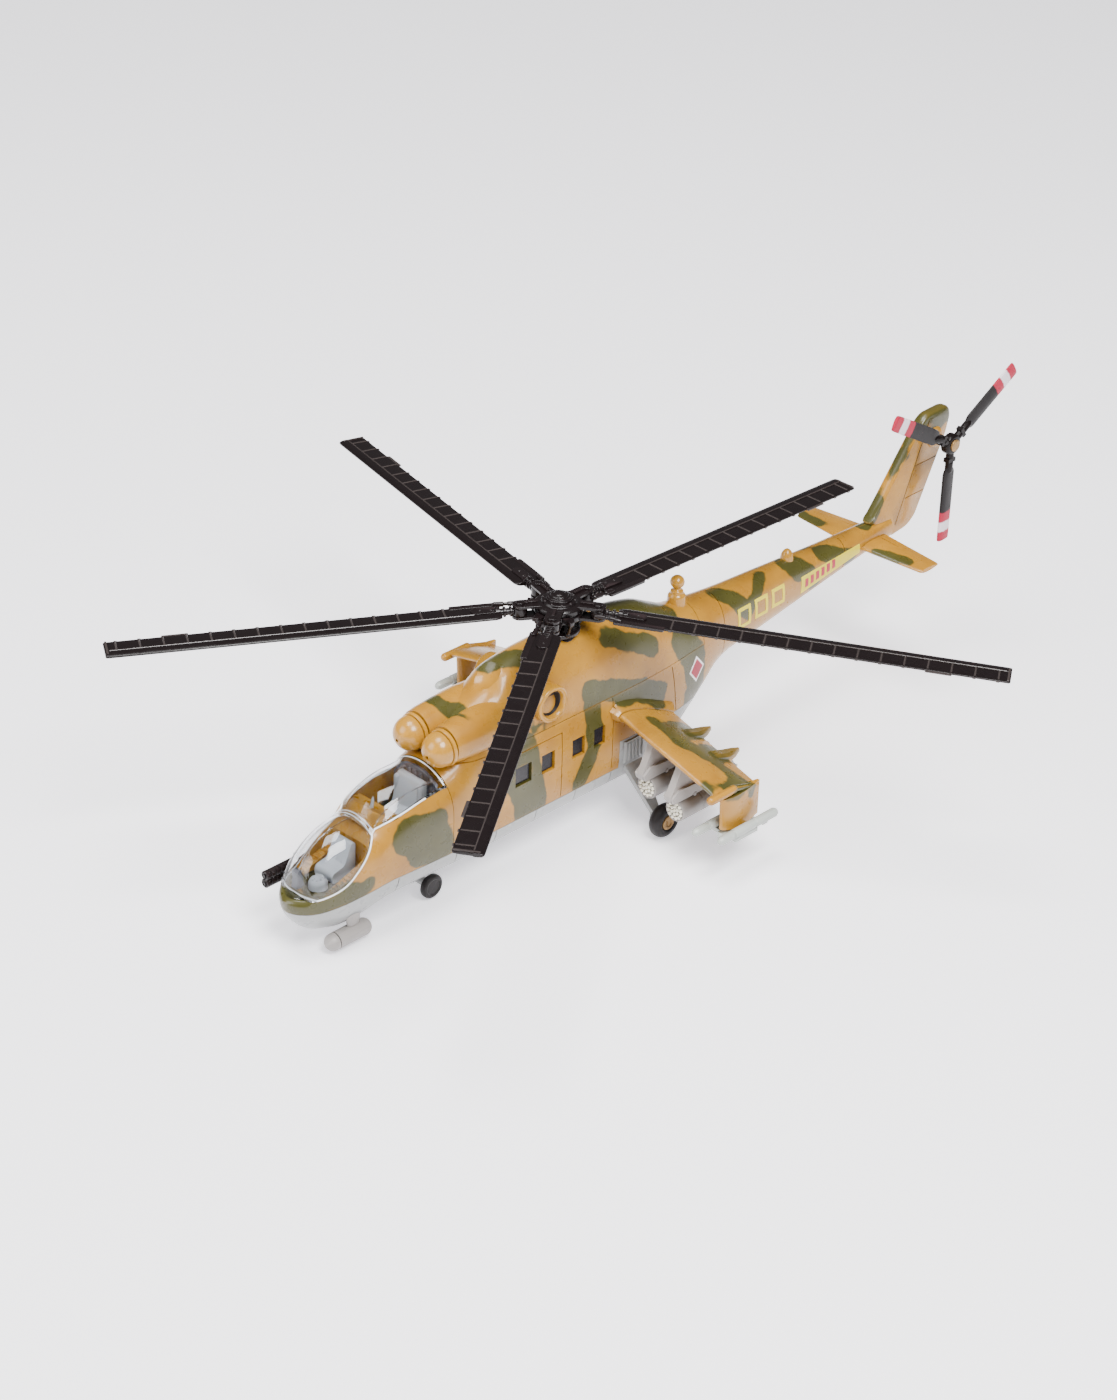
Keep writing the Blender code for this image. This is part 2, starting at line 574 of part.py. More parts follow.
def add_tail(datum):
    """Fin, stabilisers and the tail rotor on its shaft."""
    def fin_ring(half):
        return [(half, y, z) for y, z in FIN_OUTLINE]
    centre_y, centre_z = FIN_CENTRE
    slim = [(y + 0.06 * (centre_y - y), z + 0.04 * (centre_z - z)) for y, z in FIN_OUTLINE]
    rings = [[(-FIN_HALF, y, z) for y, z in slim], fin_ring(-FIN_EDGE_HALF), fin_ring(FIN_EDGE_HALF),
             [(FIN_HALF, y, z) for y, z in slim]]
    fin = cut(loft(rings), body_form(-GAP, 106.0, 129.0))
    shaft_hole = lathe("X", (0.0, TAIL_AXIS_Y, TAIL_AXIS_Z),
                       ((-0.9, TAIL_SHAFT_RADIUS + GAP), (5.0, TAIL_SHAFT_RADIUS + GAP)), 8)
    boss = lathe("X", (0.0, TAIL_AXIS_Y, TAIL_AXIS_Z), ((0.0, 2.6), (3.0, 2.2)), 12)
    add("tail_fin", cut(join(fin, boss), shaft_hole), TAN, datum)
    root = airfoil(*STABILISER_ROOT, 2.2)
    tip = airfoil(*STABILISER_TIP, 1.3)
    stabiliser = loft([[(x, y, z) for y, z in outline]
                       for x, outline in ((1.0, root), (STABILISER_TIP_X, tip))])
    stabiliser = cut(stabiliser, body_form(-GAP, 106.0, 129.0),
                     half_space(x=(-FAR, FIN_HALF + GAP)))
    pair("stabiliser", stabiliser, TAN, datum)

    spin = empty("tail_rotor_axis", datum, (0.0, TAIL_AXIS_Y, TAIL_AXIS_Z))
    shaft = lathe("X", (0.0, 0.0, 0.0), ((-0.6, TAIL_SHAFT_RADIUS),
                                         (TAIL_ROTOR_X - 0.8, TAIL_SHAFT_RADIUS)), 8)
    add("tail_rotor_shaft", shaft, BLACK, spin)
    rotor = lathe("X", (TAIL_ROTOR_X, 0.0, 0.0),
                  ((-1.6, 1.8), (-1.3, TAIL_HUB_RADIUS), (0.9, TAIL_HUB_RADIUS), (1.2, 2.6)), 12)
    for angle in TAIL_ANGLES:
        arm = box((-0.9, 1.0, -1.3), (0.9, 8.6, 1.3))
        blade = loft([[(x, y, z) for x, z in ((0.0, -half), (0.55, -0.4 * half), (0.4, half),
                                              (-0.4, half), (-0.55, -0.4 * half))]
                      for y, half in ((7.4, 0.42 * TAIL_CHORD), (9.0, 0.5 * TAIL_CHORD),
                                      (TAIL_RADIUS, 0.5 * TAIL_CHORD))])
        spar = join(arm, blade)
        spar.transform(Matrix.Translation((TAIL_ROTOR_X * MM, 0.0, 0.0))
                       @ Matrix.Rotation(math.radians(angle), 4, "X"))
        rotor = join(rotor, spar)
    bore = lathe("X", (0.0, 0.0, 0.0), ((TAIL_ROTOR_X - 3.0, TAIL_SHAFT_RADIUS + GAP),
                                        (TAIL_ROTOR_X - 0.4, TAIL_SHAFT_RADIUS + GAP)), 8)
    seat = lathe("X", (0.0, 0.0, 0.0), ((TAIL_ROTOR_X + 0.5, 1.9), (TAIL_ROTOR_X + 3.0, 1.9)), 12)
    add("tail_rotor", cut(rotor, bore, seat), BLACK, spin)
    cap = lathe("X", (0.0, 0.0, 0.0), ((TAIL_ROTOR_X + 0.8, 1.6), (TAIL_ROTOR_X + 1.7, 1.6),
                                       (TAIL_ROTOR_X + 2.0, 1.2)), 12)
    add("tail_rotor_cap", cap, GOLD, spin)


# ------------------------------------------------------------ wings and stores

def wing_plane(x, y):
    """Height of the wing's chord plane above the ground at x and y."""
    (lead_y, lead_z), (trail_y, trail_z), _ = wing_edges(x)
    return lead_z + (y - lead_y) / (trail_y - lead_y) * (trail_z - lead_z)


def spike_solid(x, grow=0.0):
    """Pointed fairing over a pylon, running aft past the trailing edge."""
    ridge = wing_plane(x, 21.0) + 1.5
    return loft([[(x - half - grow, y, z - tall - grow), (x - 0.6 * half - grow, y, z + grow),
                  (x + 0.6 * half + grow, y, z + grow), (x + half + grow, y, z - tall - grow)]
                 for y, half, z, tall in ((18.5 - grow, 0.5, ridge - 0.9, 1.0),
                                          (22.4, 2.3, ridge - 0.6, 1.8),
                                          (26.6, 2.3, ridge - 1.9, 2.2),
                                          (32.2 + grow, 0.5, ridge - 3.0, 0.9))])


def add_wings(datum):
    """Stub wings with end plates, pylons, rocket pods, rails and missiles."""
    wing = wing_solid(WING_ROOT_X, WING_TIP_X + 0.6)
    for x in PYLON_X.values():
        wing = join(wing, spike_solid(x))
    plate = loft([[(x, y, z) for y, x in airfoil((10.2 + lean, PLATE_X), (24.4, PLATE_X), 3.0)]
                  for z, lean in ((PLATE_LOW_Z, 0.5), (PLATE_TOP_Z, 0.0))])
    plate = cut(plate, prism("X", ((5.0, 14.6), (11.0, 13.2), (16.0, 12.4), (30.0, 12.6),
                                   (30.0, 5.0), (5.0, 5.0)), 40.0, 60.0))
    bulb = capsule("Y", TIP_BULB, 5.0, 15.0, 1.15, 12, 3)
    wing = join(wing, plate, bulb)
    pair("wing", wing, TAN, datum)

    for place, x in PYLON_X.items():
        pod_z = wing_plane(x, POD_FRONT_Y) - POD_DROP
        foot = pod_z + POD_RADIUS + GAP
        outline = ((POD_FRONT_Y - 2.8, foot + 1.6), (POD_FRONT_Y - 2.4, foot),
                   (29.5, foot), (30.2, foot + 1.8), (28.0, wing_plane(x, 28.0)),
                   (10.2, wing_plane(x, 10.2)))
        blade = prism("X", outline, x - 1.0, x + 1.0)
        shoe = prism("X", ((POD_FRONT_Y - 2.8, foot + 1.6), (POD_FRONT_Y - 2.2, foot),
                           (29.5, foot), (30.2, foot + 2.0), (POD_FRONT_Y - 0.4, foot + 3.4)),
                     x - SHOE_HALF, x + SHOE_HALF)
        pylon = cut(join(blade, shoe), wing_solid(WING_ROOT_X, WING_TIP_X, GAP), spike_solid(x, GAP))
        pylon = cut(pylon, prism("X", ((-10.0, 60.0), (60.0, 60.0), (60.0, wing_plane(x, 60.0)),
                                       (-10.0, wing_plane(x, -10.0))), 0.0, 60.0))
        pair(place + "_pylon", pylon, POD_GREY, datum)
        pod = lathe("Y", (x, POD_FRONT_Y, pod_z),
                    ((0.0, POD_RADIUS - 0.25), (0.5, POD_RADIUS), (16.0, POD_RADIUS),
                     (21.0, 0.82 * POD_RADIUS), (POD_LENGTH, 0.5 * POD_RADIUS)), 16)
        pair(place + "_rocket_pod", pod, POD_GREY, datum)

    rail = join(box((43.6, 12.2, 10.6), (52.0, 20.4, 11.7)), box((46.8, 11.0, 10.6), (49.0, 23.0, 12.0)))
    pair("missile_rail", rail, PALE, datum)
    for place, x, start, end in MISSILES:
        missile = lathe("Y", (x, 0.0, MISSILE_Z),
                        ((start, 0.5), (start + 0.3, 0.95), (start + 1.2, 1.15), (start + 5.0, 1.15),
                         (start + 5.1, 0.95), (start + 5.5, 0.95), (start + 5.6, MISSILE_RADIUS),
                         (end - 0.6, MISSILE_RADIUS), (end, 0.8)), 10)
        pair(place + "_missile", missile, PALE, datum)


# ------------------------------------------------------------ landing gear and gun

def add_gear(datum):
    """Struts, wheels, the twin gun and the chin pod."""
    x, y, z = MAIN_WHEEL
    inner = x - 0.5 * MAIN_WHEEL_WIDTH - GAP
    leg = loft([[(px, y - half_y, pz - 0.7), (px, y + half_y + 4.0 * share, pz - 0.7),
                 (px + 0.5, y + half_y + 4.0 * share, pz + 0.7), (px + 0.5, y - half_y, pz + 0.7)]
                for px, pz, half_y, share in ((12.0, 14.4, 0.6, 1.3), (inner - 1.4, z + 0.6, 0.9, 0.2))])
    hub_stub = lathe("X", (0.0, y, z), ((inner - 1.6, 1.5), (inner, 1.5), (inner + 0.1, AXLE_RADIUS),
                                        (x + 0.9, AXLE_RADIUS)), 10)
    pair("main_strut", join(leg, hub_stub), GREY, datum)
    for side, label in ((1.0, "left"), (-1.0, "right")):
        axis = empty("main_wheel_axis_" + label, datum, (side * x, y, z))
        half = 0.5 * MAIN_WHEEL_WIDTH
        tyre = lathe("X", (0.0, 0.0, 0.0),
                     ((-half, 3.4), (-0.8 * half, 4.3), (-0.3 * half, MAIN_WHEEL_RADIUS),
                      (0.3 * half, MAIN_WHEEL_RADIUS), (0.8 * half, 4.3), (half, 3.4)), 18)
        tyre = cut(tyre, lathe("X", (0.0, 0.0, 0.0), ((-half - 1.0, MAIN_HUB_RADIUS + GAP),
                                                      (half + 1.0, MAIN_HUB_RADIUS + GAP)), 14))
        add("main_tyre_" + label, tyre, RUBBER, axis)
        hub = lathe("X", (0.0, 0.0, 0.0), ((-half, MAIN_HUB_RADIUS), (half - 0.2, MAIN_HUB_RADIUS),
                                           (half + 0.1, MAIN_HUB_RADIUS - 0.4)), 14)
        hub = cut(hub, lathe("X", (0.0, 0.0, 0.0), ((-half - 1.0, 1.0), (1.3, 1.0)), 8))
        add("main_hub_" + label, hub if side > 0.0 else mirrored(hub), GOLD, axis)

    x, y, z = NOSE_WHEEL
    inner = x - 0.5 * NOSE_WHEEL_WIDTH - GAP
    arm = loft([[(px, py, pz) for px in (-1.3, 1.3) for py, pz in
                 (((low_y, low_z), (high_y, high_z)) if px < 0.0 else
                  ((high_y, high_z), (low_y, low_z)))]
                for low_y, low_z, high_y, high_z in ((-57.0, 6.9, -52.6, 7.9),
                                                     (y - 1.2, z - 1.0, y + 0.6, z + 1.2))])
    axle = lathe("X", (0.0, y, z), ((-x - 0.6, AXLE_RADIUS), (-inner - 0.05, AXLE_RADIUS), (-inner, 1.2),
                                    (inner, 1.2), (inner + 0.05, AXLE_RADIUS),
                                    (x + 0.6, AXLE_RADIUS)), 10)
    strut = cut(join(arm, axle), body_form(-GAP, -75.0, -27.0))
    add("nose_strut", strut, GREY, datum)
    half = 0.5 * NOSE_WHEEL_WIDTH
    wheel = lathe("X", (0.0, 0.0, 0.0), ((-half, 2.8), (-0.5 * half, NOSE_WHEEL_RADIUS),
                                         (0.5 * half, NOSE_WHEEL_RADIUS), (half, 2.8)), 16)
    wheel = cut(wheel, lathe("X", (0.0, 0.0, 0.0), ((-half - 1.0, 1.0), (0.85, 1.0)), 8))
    for side, label in ((1.0, "left"), (-1.0, "right")):
        axis = empty("nose_wheel_axis_" + label, datum, (side * x, y, z))
        add("nose_wheel_" + label, wheel.copy() if side > 0.0 else mirrored(wheel), RUBBER, axis)

    gun = prism("Y", ((-12.9, 11.6), (-10.4, 11.6), (-10.4, 16.8), (-12.9, 16.8)), -78.0, -56.0)
    for barrel_z in GUN_BARREL_ZS:
        gun = join(gun, lathe("Y", (GUN_X, 0.0, barrel_z),
                              ((-88.6, GUN_BARREL_RADIUS - 0.2), (-88.2, GUN_BARREL_RADIUS),
                               (-60.0, GUN_BARREL_RADIUS)), 8))
    add("twin_gun", cut(gun, body_form(-GAP, -89.0, -27.0)), BLACK, datum)
    pod = capsule("Y", CHIN_POD, -85.2, -71.0, CHIN_POD_RADIUS, 12, 3)
    neck = box((6.4, -79.0, 3.0), (8.2, -73.6, 11.0))
    pod = cut(join(pod, neck), body_form(-GAP, -89.0, -56.0))
    add("chin_pod", pod, POD_GREY, datum)


# ------------------------------------------------------------ main rotor

def blade_mesh():
    """One blade along +X from its swing pin, leading edge towards +Y."""
    tip = ROTOR_RADIUS - BLADE_PIN_RADIUS
    start = BLADE_ROOT - BLADE_PIN_RADIUS
    half = 0.5 * BLADE_THICK

    def outline(scale):
        return ((BLADE_LEAD * scale, 0.0), (0.6 * BLADE_LEAD * scale, half),
                (-0.1 * BLADE_TRAIL, half), (-BLADE_TRAIL * scale, 0.25),
                (-BLADE_TRAIL * scale, -0.25), (-0.1 * BLADE_TRAIL, -half),
                (0.6 * BLADE_LEAD * scale, -half))
    plank = loft([[(x, y, z) for y, z in outline(scale)]
                  for x, scale in ((start, 0.8), (start + 1.6, 1.0), (tip - 1.2, 1.0), (tip, 0.86))])
    doubler = box((start + 0.2, -2.6, -1.0), (start + 11.0, 1.4, 1.0))
    cuff = lathe("X", (0.0, 0.0, 0.0), ((1.0, CUFF_RADIUS), (start + 2.0, CUFF_RADIUS)), 8)
    eye = lathe("Z", (0.0, 0.0, 0.0), ((-CUFF_RADIUS, 1.9), (CUFF_RADIUS, 1.9)), 12)
    blade = join(plank, doubler, cuff, eye)
    return cut(blade, lathe("Z", (0.0, 0.0, 0.0), ((-3.0, SWING_PIN + GAP), (3.0, SWING_PIN + GAP)), 10))


def lug_outline():
    """Round-ended plate that carries one swing pin, as x and y."""
    tip = [(BLADE_PIN_RADIUS + LUG_HALF_WIDTH * math.cos(math.radians(lean)),
            LUG_HALF_WIDTH * math.sin(math.radians(lean))) for lean in (-90, -45, 0, 45, 90)]
    return [(3.0, -LUG_HALF_WIDTH)] + tip + [(3.0, LUG_HALF_WIDTH)]


def add_main_rotor(datum):
    """Mast, rotor head with its swing pins, cap and the five blades."""
    mast = lathe("Z", (0.0, 0.0, 0.0),
                 ((-16.0, MAST_RADIUS), (-5.4, MAST_RADIUS), (-5.3, 4.6), (-4.5, 5.2), (-3.5, 5.2),
                  (-3.1, 3.4), (-2.7, 1.6), (0.4, 1.6)), 14)
    spin = empty("main_rotor_axis", datum, (0.0, ROTOR_Y, ROTOR_Z))
    spin.rotation_euler = (math.radians(ROTOR_TILT), 0.0, 0.0)
    add("rotor_mast", mast, BLACK, spin)
    head = lathe("Z", (0.0, 0.0, 0.0),
                 ((-2.2, 5.6), (-LUG_OUT_Z, HEAD_RADIUS), (1.4, HEAD_RADIUS), (LUG_OUT_Z, 5.4),
                  (2.6, 4.2)), 16)
    for angle in BLADE_ANGLES.values():
        turn = Matrix.Rotation(math.radians(angle), 4, "Z")
        lugs = lathe("Z", (BLADE_PIN_RADIUS, 0.0, 0.0), ((-1.6, SWING_PIN), (2.3, SWING_PIN)), 8)
        for low, high in ((LUG_IN_Z, LUG_OUT_Z), (-LUG_OUT_Z, -LUG_IN_Z)):
            lugs = join(lugs, prism("Z", lug_outline(), low, high))
        lugs.transform(turn)
        head = join(head, lugs)
    head = cut(head, lathe("Z", (0.0, 0.0, 0.0), ((-4.0, 1.9), (0.8, 1.9)), 12))
    add("rotor_head", head, BLACK, spin)
    cap = lathe("Z", (0.0, 0.0, 0.0), ((2.9, 3.4), (3.3, 3.4), (3.4, 2.2), (3.9, 2.2), (4.2, 1.6)), 14)
    add("rotor_cap", cap, BLACK, spin)
    for label, angle in BLADE_ANGLES.items():
        turn = math.radians(angle)
        blade = add("blade_" + label, blade_mesh(), BLACK, spin,
                    (BLADE_PIN_RADIUS * math.cos(turn), BLADE_PIN_RADIUS * math.sin(turn), 0.0))
        blade.rotation_euler = (0.0, math.radians(BLADE_DROOP), turn)


def main():
    """Clear the file and build the toy."""
    for item in list(bpy.data.objects):
        bpy.data.objects.remove(item)
    datum = empty("belly_datum", None, (0.0, -ROTOR_Y, -(BELLY_Z + BELLY_FLAT)))
    add_belly_tray(datum)
    add_fuselage(datum)
    add_nose(datum)
    add_cowling(datum)
    add_tail(datum)
    add_wings(datum)
    add_gear(datum)
    add_main_rotor(datum)


main()
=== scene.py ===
"""Looks of a snap-together toy attack helicopter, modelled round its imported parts.

Shapes are in millimetres in the toy's standing frame: the wheels stand on z = 0,
the nose points to -Y and the port side is +X. Shape.mesh() turns them into metres
in the row frame, by way of the main rotor's own joint.
"""

import json
import logging
import math
from dataclasses import dataclass
from enum import Enum
from functools import lru_cache, reduce
from typing import Iterable, Sequence

import bmesh
import bpy
import numpy as np
from mathutils import Matrix, Vector


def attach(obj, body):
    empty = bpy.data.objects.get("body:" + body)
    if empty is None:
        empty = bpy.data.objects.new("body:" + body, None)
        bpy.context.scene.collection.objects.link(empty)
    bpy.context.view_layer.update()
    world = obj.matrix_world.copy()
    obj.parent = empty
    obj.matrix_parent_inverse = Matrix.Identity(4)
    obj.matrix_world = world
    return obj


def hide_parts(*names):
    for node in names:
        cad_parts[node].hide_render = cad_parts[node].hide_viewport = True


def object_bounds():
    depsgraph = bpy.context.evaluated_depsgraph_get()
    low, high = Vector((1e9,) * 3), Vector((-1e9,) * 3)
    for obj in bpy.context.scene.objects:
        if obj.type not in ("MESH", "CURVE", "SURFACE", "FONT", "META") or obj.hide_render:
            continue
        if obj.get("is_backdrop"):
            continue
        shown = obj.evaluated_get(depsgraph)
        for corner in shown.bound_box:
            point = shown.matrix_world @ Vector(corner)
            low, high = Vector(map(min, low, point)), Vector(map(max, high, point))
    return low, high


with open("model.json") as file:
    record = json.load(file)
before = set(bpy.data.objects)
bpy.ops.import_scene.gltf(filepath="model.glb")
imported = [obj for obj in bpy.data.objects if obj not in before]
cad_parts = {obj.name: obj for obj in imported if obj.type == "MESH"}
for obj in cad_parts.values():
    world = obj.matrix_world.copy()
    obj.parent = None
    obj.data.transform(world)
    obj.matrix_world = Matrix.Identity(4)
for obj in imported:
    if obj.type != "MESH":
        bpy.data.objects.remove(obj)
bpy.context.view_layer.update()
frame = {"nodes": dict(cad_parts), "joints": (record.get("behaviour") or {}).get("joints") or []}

LOG = logging.getLogger("toy_helicopter")
MM = 0.001
FAR = 300.0
SEAM_GAP = 0.16                # a moulded joint, as seen
Place = tuple[float, float, float]
Flat = tuple[float, float]


class Body(Enum):
    """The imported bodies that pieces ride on, apart from blades and wheels."""

    AIRFRAME = "airframe"
    MAIN_ROTOR = "main_rotor"
    TAIL_ROTOR = "tail_rotor"


class Slot(Enum):
    """The record's material slots."""

    DESERT = "desert_paint"
    BELLY = "belly_grey"
    STORE = "store_grey"
    PALE = "pale_grey"
    ROTOR = "rotor_black"
    TYRE = "tyre_black"
    GOLD = "gold_paint"
    WINDOW = "window_dark"
    CLEAR = "clear_plastic"


class Side(Enum):
    """Port or starboard, with the sign of its x."""

    LEFT = 1.0
    RIGHT = -1.0

    @property
    def tag(self) -> str:
        """The side's word in a piece's name."""
        return self.name.lower()


def joint(name: str) -> dict:
    """Look a joint up by name.

    Args:
        name: The joint's name in the record.

    Returns:
        The joint's entry.
    """
    return next(item for item in frame["joints"] if item["name"] == name)


ROTOR_CENTRE = Vector((0.0, -0.5, 61.6))
STANDING = Vector(joint("main_rotor_spin")["pos_m"]) - ROTOR_CENTRE * MM


def standing(point: Sequence[float]) -> Vector:
    """A row-frame point in metres as a standing-frame point in millimetres."""
    return (Vector(point) - STANDING) / MM


# ---------------------------------------------------------------- shapes

class Shape:
    """Points in millimetres and the faces between them."""

    def __init__(self, points: Iterable[Sequence[float]], faces: Iterable[Sequence[int]]) -> None:
        """Hold points and faces.

        Args:
            points: Places in the standing frame or a piece's own frame.
            faces: Corner numbers of each face.
        """
        self.points = [Vector(point) for point in points]
        self.faces = [tuple(face) for face in faces]

    def __add__(self, other: "Shape") -> "Shape":
        """Both shapes side by side, not fused.

        Args:
            other: The second shape.

        Returns:
            One shape with both in it.
        """
        offset = len(self.points)
        moved = [tuple(corner + offset for corner in face) for face in other.faces]
        return Shape(self.points + other.points, self.faces + moved)

    def turned(self, matrix: Matrix) -> "Shape":
        """The shape put through a matrix."""
        return Shape([matrix @ point for point in self.points], self.faces)

    def moved(self, x: float = 0.0, y: float = 0.0, z: float = 0.0) -> "Shape":
        """The shape shifted along the axes."""
        return self.turned(Matrix.Translation((x, y, z)))

    def mirrored(self) -> "Shape":
        """The shape on the other side of the centre plane."""
        return Shape([(-p.x, p.y, p.z) for p in self.points], [face[::-1] for face in self.faces])

    def on(self, side: Side) -> "Shape":
        """The port shape, or its mirror image for starboard."""
        return self if side is Side.LEFT else self.mirrored()

    def mesh(self, name: str, scale: float = 1.0, shift: Sequence[float] = (0.0, 0.0,
            0.0)) -> bpy.types.Mesh:
        """Make a Blender mesh with its faces out.

        Args:
            name: The mesh's name.
            scale: Metres or millimetres per unit.
            shift: Added after scaling.

        Returns:
            The new mesh.
        """
        mesh = bpy.data.meshes.new(name)
        shift = Vector(shift)
        mesh.from_pydata([tuple(point * scale + shift) for point in self.points], [], self.faces)
        work = bmesh.new()
        work.from_mesh(mesh)
        bmesh.ops.recalc_face_normals(work, faces=work.faces[:])
        work.to_mesh(mesh)
        work.free()
        return mesh

    def fused(self, other: "Shape", operation: str, least: float = 0.0001) -> "Shape":
        """Boolean with another closed shape, tried again a hair aside if too little is left.

        Args:
            other: The second shape.
            operation: UNION, DIFFERENCE or INTERSECT.
            least: Share of the volume that has to remain.

        Returns:
            The result, or the shape as it was if no try worked.
        """
        for nudge in (0.0, 0.0031, -0.0047, 0.0113):
            shape, share = self.boolean(other.moved(nudge, 1.3 * nudge, -0.7 * nudge), operation)
            if share > least:
                return shape
        LOG.warning("a boolean was left out")
        return self

    def boolean(self, other: "Shape", operation: str) -> tuple["Shape", float]:
        """One boolean with another closed shape.

        Args:
            other: The second shape.
            operation: UNION, DIFFERENCE or INTERSECT.

        Returns:
            The result, and its volume as a share of the shape's own.
        """
        target = bpy.data.objects.new("target", self.mesh("target"))
        tool = bpy.data.objects.new("tool", other.mesh("tool"))
        for item in (target, tool):
            bpy.context.collection.objects.link(item)
        modifier = target.modifiers.new("cut", "BOOLEAN")
        modifier.operation = operation
        modifier.solver = "EXACT"
        modifier.object = tool
        graph = bpy.context.evaluated_depsgraph_get()
        result = bpy.data.meshes.new_from_object(target.evaluated_get(graph))
        volumes = []
        for mesh in (target.data, result):
            work = bmesh.new()
            work.from_mesh(mesh)
            volumes.append(abs(work.calc_volume()))
            if mesh is result:
                bmesh.ops.remove_doubles(work, verts=work.verts[:], dist=0.004)
                bmesh.ops.dissolve_degenerate(work, edges=work.edges[:], dist=0.003)
                work.verts.index_update()
                shape = Shape([tuple(vert.co) for vert in work.verts],
                    [[vert.index for vert in face.verts] for face in work.faces])
            work.free()
        for item in (target, tool):
            mesh = item.data
            bpy.data.objects.remove(item)
            bpy.data.meshes.remove(mesh)
        bpy.data.meshes.remove(result)
        return shape, volumes[1] / max(volumes[0], 1e-9)

    def cut(self, *tools: "Shape", least: float = 0.0001) -> "Shape":
        """The shape with each tool taken away, if at least a share is left each time.

        Args:
            *tools: The shapes to take away.
            least: Share of the volume that has to remain each time.

        Returns:
            What is left.
        """
        shape = self
        for tool in tools:
            shape = shape.fused(tool, "DIFFERENCE", least)
        return shape

    def joined(self, *others: "Shape") -> "Shape":
        """The shape fused with others.

        Args:
            *others: The shapes to fuse with.

        Returns:
            The fused shape.
        """
        shape = self
        for other in others:
            shape = shape.fused(other, "UNION", 0.99)
        return shape

    def kept(self, region: "Shape") -> "Shape":
        """What lies inside a region."""
        return self.fused(region, "INTERSECT")


def loft(rings: Sequence[Sequence[Sequence[float]]]) -> Shape:
    """Join rings of equal length in order and close both ends.

    Args:
        rings: Closed rings of points.

    Returns:
        A closed shape.
    """
    count = len(rings[0])
    faces = []
    for row in range(len(rings) - 1):
        for column in range(count):
            after = (column + 1) % count
            faces.append((row * count + column, row * count + after, (row + 1) * count + after,
                (row + 1) * count + column))
    faces.append(tuple(range(count)))
    last = (len(rings) - 1) * count
    faces.append(tuple(last + column for column in range(count)))
    return Shape([point for ring in rings for point in ring], faces)


def gather(shapes: Iterable[Shape]) -> Shape:
    """Several shapes as one, not fused."""
    return reduce(Shape.__add__, shapes)


def on_axis(axis: str, along: float, first: float, second: float) -> Place:
    """Place a point by its distance along an axis and its two other values.

    Args:
        axis: X, Y or Z.
        along: Distance along the axis.
        first: The first of the other two values.
        second: The second of them.

    Returns:
        The point.
    """
    if axis == "X":
        return (along, first, second)
    if axis == "Y":
        return (first, along, second)
    return (first, second, along)


def lathe(axis: str, centre: Place, profile: Sequence[Flat], segments: int = 48) -> Shape:
    """Turn a profile round an axis.

    Args:
        axis: X, Y or Z.
        centre: A point on the axis that distances count from.
        profile: Pairs of distance along the axis and radius.
        segments: Facets round the axis.

    Returns:
        A closed shape.
    """
    rings = []
    for along, radius in profile:
        turns = [2.0 * math.pi * (step + 0.5) / segments for step in range(segments)]
        ring = [on_axis(axis, along, radius * math.cos(turn), radius * math.sin(turn)) for turn in turns]
        rings.append([tuple(a + b for a, b in zip(point, centre)) for point in ring])
    return loft(rings)


def rounded(profile: Sequence[Flat], radius: float, steps: int = 3) -> list[Flat]:
    """Round a profile's inner corners.

    Args:
        profile: The corner points.
        radius: How far from a corner its rounding starts.
        steps: Points on each rounding.

    Returns:
        The rounded profile.
    """
    result = [profile[0]]
    for before, corner, after in zip(profile, profile[1:], profile[2:]):
        here, back, ahead = Vector(corner), Vector(before), Vector(after)
        reach = min(radius, 0.45 * (back - here).length, 0.45 * (ahead - here).length)
        start = here + (back - here).normalized() * reach
        end = here + (ahead - here).normalized() * reach
        for step in range(steps + 1):
            share = step / steps
            point = start * (1 - share) ** 2 + here * 2 * share * (1 - share) + end * share ** 2
            result.append(tuple(point))
    result.append(profile[-1])
    return result


def box(low: Place, high: Place) -> Shape:
    """A block between two corners.

    Args:
        low: The corner with the lowest coordinates.
        high: The corner with the highest.

    Returns:
        A closed shape.
    """
    corners = [(x, y, z) for x in (low[0], high[0]) for y in (low[1], high[1]) for z in (low[2], high[2])]
    return Shape(corners, ((0, 1, 3, 2), (4, 6, 7, 5), (0, 4, 5, 1), (2, 3, 7, 6), (0, 2, 6, 4),
        (1, 5, 7, 3)))


def prism(axis: str, outline: Sequence[Flat], low: float, high: float) -> Shape:
    """Extrude an outline along an axis from low to high."""
    return loft([[on_axis(axis, along, first, second) for first, second in outline]
        for along in (low, high)])


def pill(axis: str, centre: Place, low: float, high: float, radius: float, segments: int = 32) -> Shape:
    """A round-ended bar along an axis.

    Args:
        axis: X, Y or Z.
        centre: A point on the bar's axis.
        low: Where the bar starts.
        high: Where it ends.
        radius: Its radius.
        segments: Facets round it.

    Returns:
        A closed shape.
    """
    leans = [math.radians(lean) for lean in (12, 28, 44, 60, 75, 90)]
    profile = [(low + radius * (1.0 - math.cos(lean)), radius * math.sin(lean)) for lean in leans]
    profile += [(high - radius * (1.0 - math.cos(lean)), radius * math.sin(lean)) for lean in leans[::-1]]
    return lathe(axis, centre, profile, segments)


